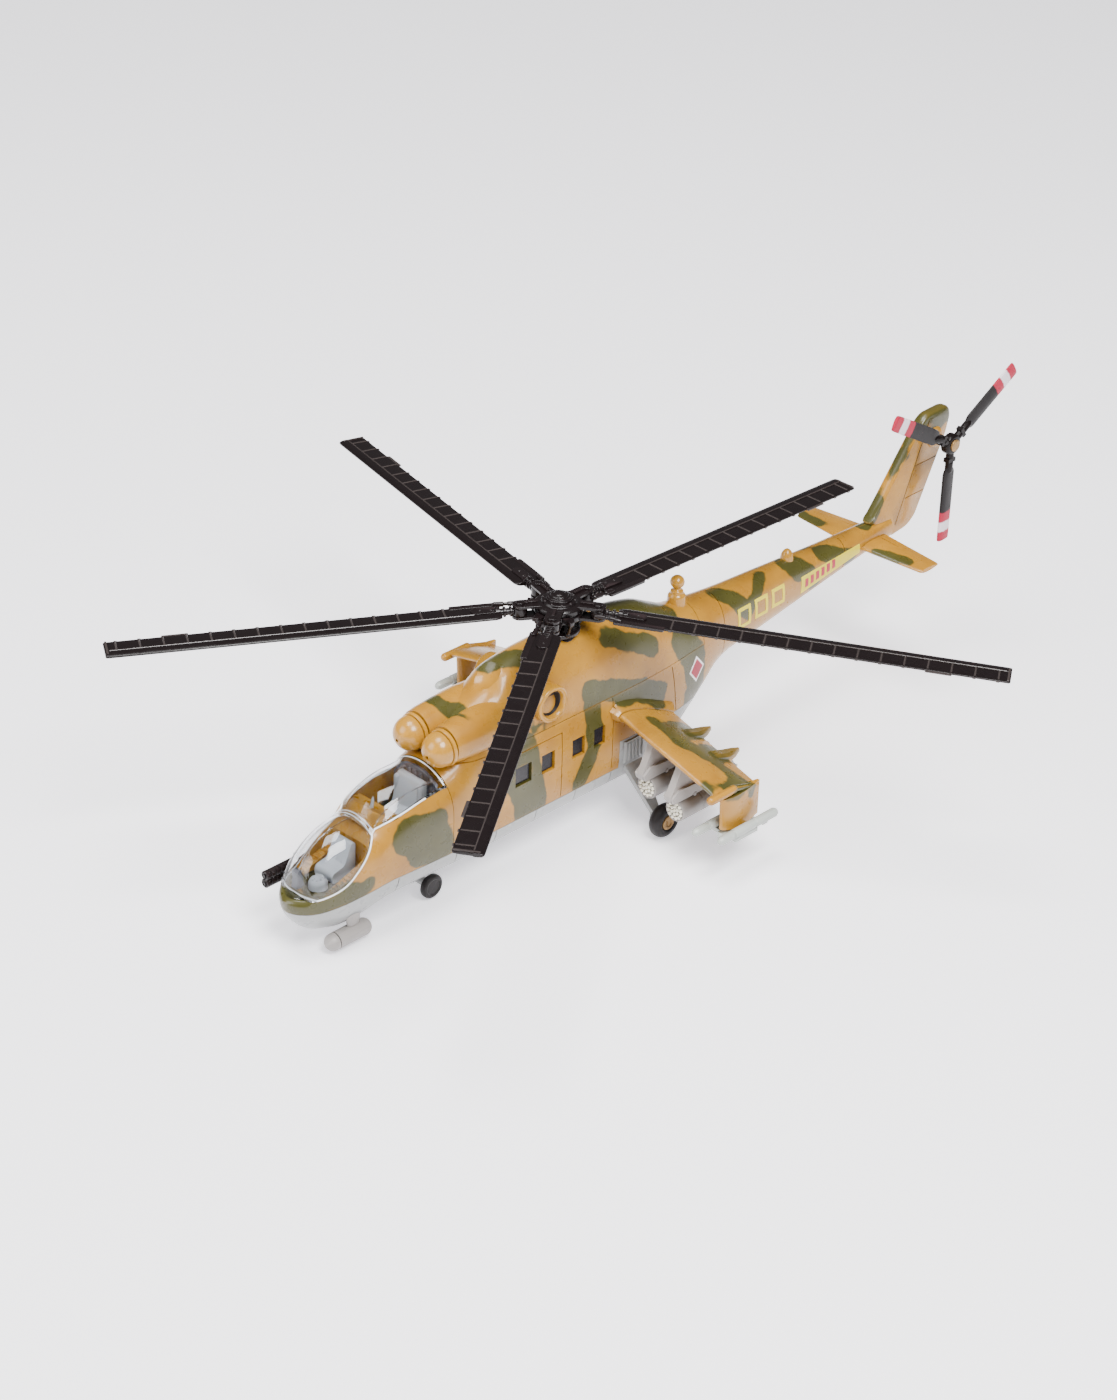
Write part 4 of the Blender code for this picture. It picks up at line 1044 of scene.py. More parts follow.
    def reach(self, points: np.ndarray) -> np.ndarray:
        """Distance of each point outside the nearest patch.

        Args:
            points: Places in millimetres in the standing frame.

        Returns:
            Millimetres, below zero inside a patch.
        """
        squash = np.array([self.across_share, 1.0, 1.0])
        best = np.full(len(points), 40.0)
        where = points * squash
        for patch in self.port + self.starboard + self.middle:
            ends = [np.array(point) * squash for point in patch.line]
            for start, end in zip(ends, ends[1:]):
                run = end - start
                share = np.clip((where - start) @ run / (run @ run), 0.0, 1.0)
                gap = np.linalg.norm(where - start - share[:, None] * run, axis=1) - patch.radius
                best = np.minimum(best, gap)
        return best


SPRAY = SprayPlan()


def set_values(mesh: bpy.types.Mesh, name: str, values: np.ndarray) -> None:
    """Store one number per point on a mesh.

    Args:
        mesh: The mesh.
        name: The attribute's name.
        values: One value per point.
    """
    attribute = mesh.attributes.new(name, "FLOAT", "POINT")
    attribute.data.foreach_set("value", values.astype(np.float32))


def add_piece(name: str, shape: Shape, finish: object, body: Body | str,
        replaces: Sequence[str] = (), bevel: float = 0.0, sharp: float = 34.0) -> bpy.types.Object:
    """Make a piece, dress it and seat it on its body.

    Args:
        name: The piece's name.
        shape: Its shape in the standing frame.
        finish: The finish it wears.
        body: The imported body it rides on.
        replaces: CAD nodes it stands for.
        bevel: Width in millimetres of the rounding on its edges.
        sharp: Edges steeper than this stay crisp, in degrees.

    Returns:
        The new object.
    """
    mesh = shape.mesh(name, MM, STANDING)
    mesh.shade_smooth()
    mesh.set_sharp_from_angle(angle=math.radians(sharp))
    mesh.materials.append(finish.material())
    places = np.array([tuple(point) for point in shape.points])
    if isinstance(finish, Camouflage):
        set_values(mesh, "patch_reach", SPRAY.reach(places))
    item = bpy.data.objects.new(name, mesh)
    bpy.context.collection.objects.link(item)
    if bevel > 0.0:
        soften(item, bevel)
    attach(item, body.value if isinstance(body, Body) else body)
    if replaces:
        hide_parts(*replaces)
    LOG.info("%s: %d faces", name, len(mesh.polygons))
    return item


def soften(item: bpy.types.Object, width: float) -> None:
    """Round an object's edges by a width in millimetres.

    Args:
        item: The object.
        width: Width of the rounding, in millimetres.
    """
    modifier = item.modifiers.new("soft_edges", "BEVEL")
    modifier.width = width * MM
    modifier.segments = 2
    modifier.limit_method = "ANGLE"
    modifier.angle_limit = math.radians(40.0)
    modifier.harden_normals = False


def dress_node(name: str, finish: object, bevel: float = 0.0) -> None:
    """Give a kept CAD node its finish and soft edges.

    Args:
        name: The node's name.
        finish: The finish it wears.
        bevel: Width in millimetres of the rounding on its edges.
    """
    item = frame["nodes"][name]
    item.data.materials.clear()
    item.data.materials.append(finish.material())
    if bevel > 0.0:
        soften(item, bevel)
    LOG.info("%s: dressed", name)


# ---------------------------------------------------------------- airframe shells

@dataclass(frozen=True)
class Shells:
    """Belly tray, painted fuselage halves, windows and marks."""

    seam: tuple[Flat, ...] = ((-95.0, 12.0), (-86.0, 12.4), (-76.0, 13.4), (-65.0, 14.5), (60.0, 14.3))
    bay_seam_z: float = 22.3
    bay_front_y: float = 11.6
    bay_rear_y: float = 42.0
    roof_z: float = 36.7
    cockpit_rear_y: float = -47.0
    cowling_rear_y: float = 45.8
    window_ys: tuple[float, ...] = (-23.2, -14.5, -3.7, 3.9)
    window_widths: tuple[float, ...] = (5.6, 4.6, 4.4, 4.0)
    window_low: float = 24.4
    window_high: float = 29.8
    wing_root_x: float = 14.0
    doors: tuple[tuple[Flat, ...], ...] = (((-33.4, 15.0), (-33.4, 33.6), (-9.6, 33.6), (-9.6, 15.0)),
        ((-27.6, 36.4), (-27.6, 33.8)), ((8.8, 36.2), (8.8, 15.6)), ((55.0, 24.5), (55.6, 46.0)),
        ((31.6, 36.0), (33.4, 22.6)), ((106.5, 33.0), (107.5, 43.0)),)
    tray_lines: tuple[float, ...] = (-64.0, -45.5, -32.0, -18.0, -4.0, 9.0)

    def below_seam(self, drop: float, rear: float) -> Shape:
        """Everything under the tray's seam, up to rear.

        Args:
            drop: How far below the seam it stays.
            rear: Where it ends.

        Returns:
            The block.
        """
        outline = [(y, z - drop) for y, z in self.seam if y < rear]
        outline += [(rear, self.seam[-1][1] - drop), (rear, -FAR), (self.seam[0][0], -FAR)]
        return band(outline)

    def build_tray(self) -> None:
        """Grey belly with its panel lines, ramp and wheel-bay ribs."""
        half = 0.5 * SEAM_GAP
        low = self.below_seam(half, self.bay_front_y + 1.0)
        high = room(z=(-FAR, self.bay_seam_z - half), y=(self.bay_front_y + half, self.bay_rear_y))
        tray = FORM.form().kept(low.joined(high))
        lines = [((y, -5.0), (y, 14.0)) for y in self.tray_lines]
        lines += [((12.6, 8.8), (41.0, 19.6)), ((24.0, 8.0), (24.0, 22.0))]
        tray = engraved(tray, lines, 0.26)
        add_piece("belly_shell", tray, BELLY_GREY, Body.AIRFRAME, ("belly_tray",))
        for side in Side:
            plates = loft([[(x, y + lean, z) for y,
                z in ((12.9, 15.0), (20.5, 15.0), (19.0, 21.6), (12.9, 21.6))] for x,
                lean in ((10.9, 0.0), (12.1, 0.3))])
            ribs = plates
            for step in range(5):
                y = 14.2 + 1.25 * step
                ribs = ribs + box((12.0, y, 15.6), (12.5, y + 0.35, 21.0))
            add_piece("bay_plate_" + side.tag, ribs.on(side), BELLY_GREY, Body.AIRFRAME, (),
                0.12)

    def half_shell(self) -> Shape:
        """Port half of the painted fuselage, before its windows are cut.

        Returns:
            The port half.
        """
        half = 0.5 * SEAM_GAP
        shell = FORM.form().kept(room(x=(0.03, FAR), y=(self.cockpit_rear_y + half, FAR)))
        lower = self.below_seam(-half, self.bay_front_y + 1.0)
        bay = room(y=(self.bay_front_y - half, self.bay_rear_y + SEAM_GAP), z=(-FAR, self.bay_seam_z + half))
        roof = room(y=(-FAR, self.cowling_rear_y), z=(self.roof_z - half, FAR))
        shell = shell.cut(lower.joined(bay), roof)
        return shell.joined(self.wing_fairing())

    def wing_fairing(self) -> Shape:
        """Rounded root that the wing plugs into."""
        rows = ((9.6, 1.5), (11.6, 1.35), (12.4, 1.1), (13.1, 0.8), (self.wing_root_x - 0.25, 0.35))
        return loft([Wing().section(x, grow) for x, grow in rows])

    def build_halves(self) -> None:
        """Both painted halves with windows and door lines."""
        shell = self.half_shell()
        spans = [(y - 0.5 * width, y + 0.5 * width) for y, width in zip(self.window_ys, self.window_widths)]
        openings = gather(box((8.6, low, self.window_low), (14.0, high, self.window_high)) for low,
            high in spans)
        shell = engraved(shell.cut(openings, least=0.9), self.doors, 0.26, (0.5, FAR))
        for side in Side:
            name = "painted_half_" + side.tag
            add_piece(name, shell.on(side), CAMOUFLAGE, Body.AIRFRAME,
                ("fuselage_" + side.tag,))
            dress_node("cabin_windows_" + side.tag, PANE_DARK)

    def decal(self, low: Sequence[Flat], high: Sequence[Flat], lift: float) -> Shape:
        """A thin transfer that hugs the port side.

        Args:
            low: Its lower edge, in y and z.
            high: Its upper edge, point for point.
            lift: How far its face stands off the shell.

        Returns:
            A closed sheet.
        """
        rings = []
        for (y0, z0), (y1, z1) in zip(low, high):
            line = [(y0 + (y1 - y0) * step / 8, z0 + (z1 - z0) * step / 8) for step in range(9)]
            rings.append([(FORM.side_x(y, z) + lift, y, z) for y,
                z in line] + [(FORM.side_x(y, z) - 0.12, y, z) for y, z in line[::-1]])
        return loft(rings)

    def frame_strip(self, low: Flat, high: Flat, width: float, lift: float) -> Shape:
        """An outlined rectangle on the port side, in y and z.

        Args:
            low: Lower front corner, in y and z.
            high: Upper rear corner.
            width: Width of its line.
            lift: How far it stands off the shell.

        Returns:
            The outline.
        """
        (y0, z0), (y1, z1) = low, high
        strips = []
        for a, b in (((y0, z0), (y1, z0 + width)), ((y0, z1 - width), (y1, z1)),
                ((y0, z0 + width), (y0 + width, z1 - width)), ((y1 - width, z0 + width), (y1, z1 - width))):
            strips.append(self.decal([a, (b[0], a[1])], [(a[0], b[1]), b], lift))
        return gather(strips)

    def build_marks(self) -> None:
        """Plain stand-in marks: a diamond, three boxes and a warning strip."""
        def diamond(reach: float, lift: float) -> Shape:
            """A plain upright diamond.

            Args:
                reach: Half its length.
                lift: How far it stands off the shell.

            Returns:
                A closed sheet.
            """
            shares = [-0.96 + 0.12 * step for step in range(17)]
            edges = [[(42.0 + reach * share, 31.1 + sign * 1.15 * reach * (1.0 - abs(share)))
                for share in shares] for sign in (-1.0, 1.0)]
            return self.decal(edges[0], edges[1], lift)
        for side in Side:
            tag = side.tag
            add_piece("diamond_edge_" + tag, diamond(3.3, 0.05).on(side), MARK_WHITE, Body.AIRFRAME)
            add_piece("diamond_" + tag, diamond(2.6, 0.10).on(side), MARK_CRIMSON, Body.AIRFRAME)
            fronts = [(61.4 + 7.2 * step, step) for step in range(3)]
            boxes = gather(self.frame_strip((y, 34.0 + 0.35 * step), (y + 5.4, 39.8 + 0.15 * step), 0.95,
                0.08) for y, step in fronts)
            add_piece("boom_boxes_" + tag, boxes.on(side), MARK_YELLOW, Body.AIRFRAME)
            ys = [88.4 + 3.15 * step for step in range(9)]
            strip = self.decal([(y, 34.2 + 0.130 * (y - 88.4)) for y in ys],
                [(y, 39.2 + 0.035 * (y - 88.4)) for y in ys], 0.06)
            add_piece("boom_strip_" + tag, strip.on(side), MARK_YELLOW, Body.AIRFRAME)
            corners = [(y, 35.6 + 0.12 * (y - 90.0)) for y in (90.0 + 2.3 * step for step in range(6))]
            ticks = gather(self.decal([(y, z), (y + 1.3, z + 0.1)], [(y, z + 2.5), (y + 1.3, z + 2.5)], 0.11)
                for y, z in corners)
            add_piece("strip_ticks_" + tag, ticks.on(side), MARK_CRIMSON, Body.AIRFRAME)

    def build(self) -> None:
        """Build every shell of the cabin and boom."""
        self.build_tray()
        self.build_halves()
        self.build_marks()


@dataclass(frozen=True)
class Cockpit:
    """Nose section, canopy and what is seen through it."""

    sill: tuple[Flat, ...] = ((-95.0, 15.8), (-87.6, 15.8), (-80.0, 17.4), (-73.6, 22.6), (-68.0, 29.0),
        (-57.0, 31.6), (-40.0, 33.0))
    rear_y: float = -47.0
    front_floor: float = 15.6
    rear_floor: float = 20.5
    glass: float = 0.7
    hood_ys: Flat = (-69.6, -60.6)

    def sill_line(self) -> list[Flat]:
        """The canopy edge with its corners rounded."""
        return rounded(self.sill, 3.2, 5)

    def above_sill(self, drop: float) -> Shape:
        """Everything above the canopy edge."""
        outline = [(y, z - drop) for y, z in self.sill_line()]
        return band(outline + [(self.sill[-1][0], 80.0), (self.sill[0][0], 80.0)])

    def build_nose(self) -> None:
        """Painted nose with both tubs, the hump between them and ribs."""
        half = 0.5 * SEAM_GAP
        nose = FORM.form(0.0, -91.8, self.rear_y - half)
        nose = nose.cut(self.above_sill(half), Shells().below_seam(-half, 0.0))
        front = prism("Z", rounded(((0.0, -71.4), (7.6, -71.4), (7.4, -80.0), (5.4, -86.2), (0.0, -87.0),
            (-5.4, -86.2), (-7.4, -80.0), (-7.6, -71.4), (-0.1, -71.4)), 1.6), self.front_floor, 60.0)
        rear = prism("Z", rounded(((0.0, -48.6), (8.7, -48.6), (8.5, -64.4), (0.0, -64.6), (-8.5, -64.4),
            (-8.7, -48.6), (-0.1, -48.6)), 1.6), self.rear_floor, 60.0)
        nose = nose.cut(front, rear)
        add_piece("painted_nose", nose, CAMOUFLAGE, Body.AIRFRAME, ("cockpit_nose",))
        hump = FORM.form(1.35, self.hood_ys[0], self.hood_ys[1]).kept(room(z=(22.0, FAR)))
        hump = hump.cut(band(((self.hood_ys[0] - 1.0, 24.0), (self.hood_ys[0] + 1.6, 27.4),
            (self.hood_ys[0] - 1.0, 30.6))), band(((self.hood_ys[0] + 3.4, 60.0),
            (self.hood_ys[0] + 3.4, 30.9), (-60.6, 29.0), (-59.0, 27.0), (-59.0, 60.0))))
        for y, inset in ((self.hood_ys[0] + 0.3, 1.0), (self.hood_ys[0] + 1.5, 1.05)):
            arch = [(x, y, z) for x, _, z in FORM.section(y, inset) if z > 25.5]
            arch.sort(key=lambda point: math.atan2(point[2] - 20.0, point[0]))
            hump = hump + tube(arch, 0.42)
        add_piece("cockpit_hump", hump, CAMOUFLAGE, Body.AIRFRAME)
        post = rod((0.6, -64.2, 29.6), (0.6, -63.6, 33.0), 0.45, 12,
            ((0, 1.3), (0.2, 1.0), (0.8, 0.8), (1, 0.2)))
        add_piece("cockpit_post", post, SEAT_GREY, Body.AIRFRAME)
        tops = [(-82.4 + 1.15 * step, 16.6 + 0.38 * step) for step in range(11)]
        ribs = gather(box((5.0, y, z - 1.6), (7.3, y + 0.5, z)) for y, z in tops)
        shelf = loft([[(x, y, z) for x, z in ((4.8, 15.7), (7.3, 15.7), (7.3, top), (4.8, top))] for y,
            top in ((-83.2, 15.9), (-70.0, 20.4))])
        for side in Side:
            add_piece("console_ribs_" + side.tag, (ribs + shelf).on(side), CAMOUFLAGE, Body.AIRFRAME,
                (), 0.08)

    def build_fittings(self) -> None:
        """Seats, console, sight and the ribbed rear wall."""
        seat = prism("X", rounded(((-79.4, 17.4), (-79.4, 15.8), (-72.0, 15.8), (-71.8, 24.6), (-73.2, 24.8),
            (-75.4, 19.4), (-79.0, 18.6), (-79.4, 17.5)), 0.8), -3.1, 3.1)
        grooves = gather(prism("X", ((-79.8, 18.6), (-75.2, 19.6), (-72.8, 26.8), (-74.2, 27.0),
            (-76.2, 20.6), (-80.0, 19.8)), x - 0.14, x + 0.14) for x in (-1.9, 0.0, 1.9))
        add_piece("front_seat", seat.cut(grooves), SEAT_GREY, Body.AIRFRAME, ("gunner_seat",),
            0.2)
        pilot = prism("X", rounded(((-59.0, 22.8), (-59.0, 20.7), (-50.0, 20.7), (-49.4, 33.0),
            (-51.4, 33.2), (-53.2, 25.0), (-58.6, 24.2), (-59.0, 22.9)), 0.9), -4.3, 4.3)
        bolsters = pill("Z", (4.0, -51.6, 0.0), 24.6, 32.6, 0.9) + pill("Z", (-4.0, -51.6, 0.0), 24.6, 32.6,
            0.9)
        add_piece("rear_seat", pilot + bolsters, SEAT_GREY, Body.AIRFRAME, ("pilot_seat",), 0.2)
        console = lathe("Z", (1.6, -82.4, 0.0), rounded(((15.8, 2.3), (17.6, 2.2), (18.4, 1.6), (18.6, 0.5)),
            0.5))
        for step in range(7):
            turn = 2.0 * math.pi * step / 7
            console = console + ball((1.6 + 1.2 * math.cos(turn), -82.4 + 1.2 * math.sin(turn), 18.4), 0.42,
                12)
        add_piece("round_console", console, SEAT_GREY, Body.AIRFRAME, ("gunner_console",))
        sight = prism("X", rounded(((-87.0, 15.8), (-84.4, 15.8), (-84.8, 19.2), (-85.4, 21.0),
            (-87.0, 20.2), (-86.6, 18.4), (-87.0, 16.0)), 0.4), -3.1, -1.0)
        add_piece("gun_sight", sight, WALL_GREY, Body.AIRFRAME, (), 0.15)
        wall = self.rear_wall()
        add_piece("rear_wall", wall, WALL_GREY, Body.AIRFRAME, (), 0.08)

    def rear_wall(self) -> Shape:
        """Dark ribbed wall behind the rear seat.

        Returns:
            The wall with its ribs.
        """
        outline = [(x, z) for x, _, z in FORM.section(-49.2, self.glass + 0.5) if z > 20.0]
        outline.sort(key=lambda point: math.atan2(point[1] - 27.0, point[0]))
        wall = prism("Y", outline, -49.0, -48.0)
        for step in range(7):
            x = -6.0 + 2.0 * step
            top = FORM.top_z(x, -49.4) - self.glass - 1.2
            wall = wall + box((x - 0.3, -49.6, 22.0), (x + 0.3, -48.8, top))
        return wall

    def build_canopy(self) -> None:
        """Two clear bubbles in one shell, with pale edges and an arch painted as highlights."""
        half = 0.5 * SEAM_GAP
        shell = FORM.form(0.0, -91.8, self.rear_y - half).kept(self.above_sill(-half))
        shell = shell.cut(FORM.form(self.glass, -90.2, -40.0))
        add_piece("canopy_shell", shell, CLEAR, Body.AIRFRAME, ("canopy",))
        line = [(y, z) for y, z in self.sill_line() if -91.0 < y < self.rear_y - 0.4]
        front_y = -88.35
        path = [(FORM.side_x(y, z) - 0.12, y, z + 0.18) for y, z in line if y > front_y + 0.5]
        nose = [(-x, y, z) for x, y, z in path[::-1]]
        bow = [(x, front_y + 0.9 * (x / 5.2) ** 2, 16.15) for x in (-4.6, -3.0, -1.2, 1.2, 3.0, 4.6)]
        edge = tube(nose + bow + path, 0.24)
        # Pale strip along the sill: a painted highlight of the clear edge.
        add_piece("canopy_edge", edge, CANOPY_EDGE_HIGHLIGHT, Body.AIRFRAME)
        arches = []
        for y, radius in ((-69.6, 0.2), (-68.7, 0.2), (self.rear_y - 0.5, 0.24)):
            base = np.interp(y, [row[0] for row in self.sill_line()], [row[1] for row in self.sill_line()])
            arch = [(x, y, z) for x, _, z in FORM.section(y, 0.12) if z > base]
            arch.sort(key=lambda point: math.atan2(point[2] - base + 4.0, point[0]))
            arches.append(tube(arch, radius))
        # Pale arches: a painted highlight of the clear ribs.
        add_piece("canopy_arches", gather(arches), CANOPY_EDGE_HIGHLIGHT, Body.AIRFRAME)
        rails = []
        for share, start, end in ((0.0, -87.6, -70.4), (0.55, -68.0, -48.0), (-0.55, -68.0, -48.0)):
            run = []
            for y in np.linspace(start, end, 26):
                half_width = FORM.at(float(y))[0]
                x = share * half_width
                run.append((x, float(y), FORM.top_z(x, float(y)) - 0.12))
            rails.append(tube(run, 0.17, 8))
        add_piece("canopy_lines", gather(rails), CLEAR, Body.AIRFRAME)

    def build(self) -> None:
        """Build the nose, its fittings and the canopy."""
        self.build_nose()
        self.build_fittings()
        self.build_canopy()


@dataclass(frozen=True)
class EngineDeck:
    """Cowling, intake domes, exhausts and beacons."""

    roof_z: float = 36.7
    front_y: float = -42.6
    rear_y: float = 45.8
    nacelle: Flat = (5.1, 41.7)
    nacelle_profile: tuple[Flat, ...] = ((-44.05, 4.9), (-42.0, 5.25), (-38.0, 5.55), (-30.0, 6.0),
        (-22.0, 5.6), (-16.0, 4.4))
    scoop_axis: Place = (0.0, -29.6, 57.4)
    scoop_radius: float = 8.4
    scoop_half_width: float = 7.4
    dome: Place = (5.2, -46.8, 41.3)
    dome_radius: float = 4.5
    exhaust: Flat = (-13.6, 43.8)
    exhaust_radius: float = 5.0
    exhaust_face: float = 12.2
    exhaust_bore: float = 3.6
    panel_lines: tuple[tuple[Flat, ...], ...] = (((-9.9, 53.0), (-5.5, 37.0)), ((6.5, 56.5), (12.6, 36.0)),
        ((28.3, 54.0), (31.6, 36.0)), ((-8.2, 47.2), (9.6, 47.6), (16.6, 48.2)),
        ((-27.0, 36.0), (-25.5, 46.0)))

    def build_cowling(self) -> None:
        """Painted engine hump with its scoop.

        The solver refuses the mast hole, the exhaust recesses and the panel lines, so fused()
        leaves them out.
        """
        cowling = FORM.form().kept(room(y=(self.front_y, self.rear_y - SEAM_GAP),
            z=(self.roof_z - 5.0, FAR)))
        for side in Side:
            x, z = self.nacelle
            cowling = cowling.joined(lathe("Y", (side.value * x, 0.0, z), self.nacelle_profile))
        cowling = cowling.kept(room(z=(self.roof_z + 0.5 * SEAM_GAP, FAR)))
        scoop = lathe("X", self.scoop_axis, [(self.scoop_half_width * math.sin(math.radians(lean)),
            self.scoop_radius * math.cos(math.radians(lean))) for lean in range(-80, 81, 10)])
        y, z = self.exhaust
        recess = self.exhaust_radius + 0.12
        recesses = lathe("X", (0.0, y, z), ((7.4, recess), (20.0, recess)))
        recesses = recesses + lathe("X", (0.0, y, z), ((-20.0, recess), (-7.4, recess)))
        mast_hole = lathe("Z", (0.0, ROTOR_CENTRE.y, 0.0), ((46.0, 2.6), (70.0, 2.6)))
        cowling = engraved(cowling.cut(scoop, mast_hole, recesses, least=0.85), self.panel_lines, 0.3)
        add_piece("painted_cowling", cowling, CAMOUFLAGE, Body.AIRFRAME, ("engine_cowling",))

    def build_dome(self, side: Side) -> None:
        """One intake dome with its eye hole, groove and collar.

        Args:
            side: Port or starboard.
        """
        radius = self.dome_radius
        curve = [(0.8 - radius * math.cos(math.radians(lean)), radius * math.sin(math.radians(lean)))
            for lean in range(4, 91, 6)]
        profile = curve + [(1.15, radius), (1.2, 4.05), (1.5, 4.05), (1.56, 4.62), (1.75, 4.8), (2.4, 4.86)]
        dome = lathe("Y", self.dome, profile, 56)
        eye = lathe("Y", (self.dome[0] + 0.25, self.dome[1] + 0.8, self.dome[2] - 0.5),
            ((-radius - 1.0, 0.48), (-radius + 1.6, 0.48)), 20)
        add_piece("dome_" + side.tag, dome.cut(eye).on(side), PLAIN_SAND, Body.AIRFRAME,
            ("intake_dome_" + side.tag,))

    def build_exhaust(self, side: Side) -> None:
        """One exhaust with a raised lip, a black bore and a collar.

        Args:
            side: Port or starboard.
        """
        y, z = self.exhaust
        face = self.exhaust_face
        radius = self.exhaust_radius
        bore = self.exhaust_bore
        profile = rounded(((7.7, radius - 0.5), (face - 1.6, radius), (face - 0.2, radius - 0.1),
            (face, radius - 0.7), (face - 0.1, bore + 0.2), (face - 0.8, bore - 0.15), (9.2, bore - 0.5),
            (8.9, 0.4)), 0.35)
        pipe = lathe("X", (0.0, y, z), profile, 56)
        add_piece("exhaust_ring_" + side.tag, pipe.on(side), PLAIN_SAND, Body.AIRFRAME,
            ("exhaust_pipe_" + side.tag,))
        throat = lathe("X", (0.0, y, z), ((9.22, bore - 0.62), (11.0, bore - 0.22), (10.9, bore - 0.36),
            (9.4, bore - 0.9), (9.35, 0.3)), 48)
        add_piece("exhaust_throat_" + side.tag, throat.on(side), BORE_BLACK, Body.AIRFRAME)

    def build_beacons(self) -> None:
        """Stepped dorsal beacon and the small one on the boom."""
        base = 47.7
        profile = rounded(((base - 2.4, 2.7), (base - 0.4, 2.5), (base + 1.2, 2.4), (base + 1.9, 1.75),
            (base + 2.6, 1.7), (base + 2.9, 1.1), (base + 3.6, 1.1), (base + 4.0, 1.7), (base + 5.0, 2.0),
            (base + 6.0, 1.7), (base + 6.7, 0.9), (base + 6.9, 0.2)), 0.35)
        stalk = lathe("Z", (0.0, 43.4, 0.0), profile, 40)
        add_piece("dorsal_lamp", stalk, PLAIN_SAND, Body.AIRFRAME, ("dorsal_beacon",))
        bead = lathe("Z", (0.0, 87.1, 0.0), rounded(((42.6, 1.9), (44.2, 1.85), (45.4, 1.55), (46.3, 0.9),
            (46.8, 0.15)), 0.5), 32)
        add_piece("boom_lamp", bead, PLAIN_SAND, Body.AIRFRAME, ("boom_beacon",))

    def build(self) -> None:
        """Build the whole deck."""
        self.build_cowling()
        for side in Side:
            self.build_dome(side)
            self.build_exhaust(side)
        self.build_beacons()


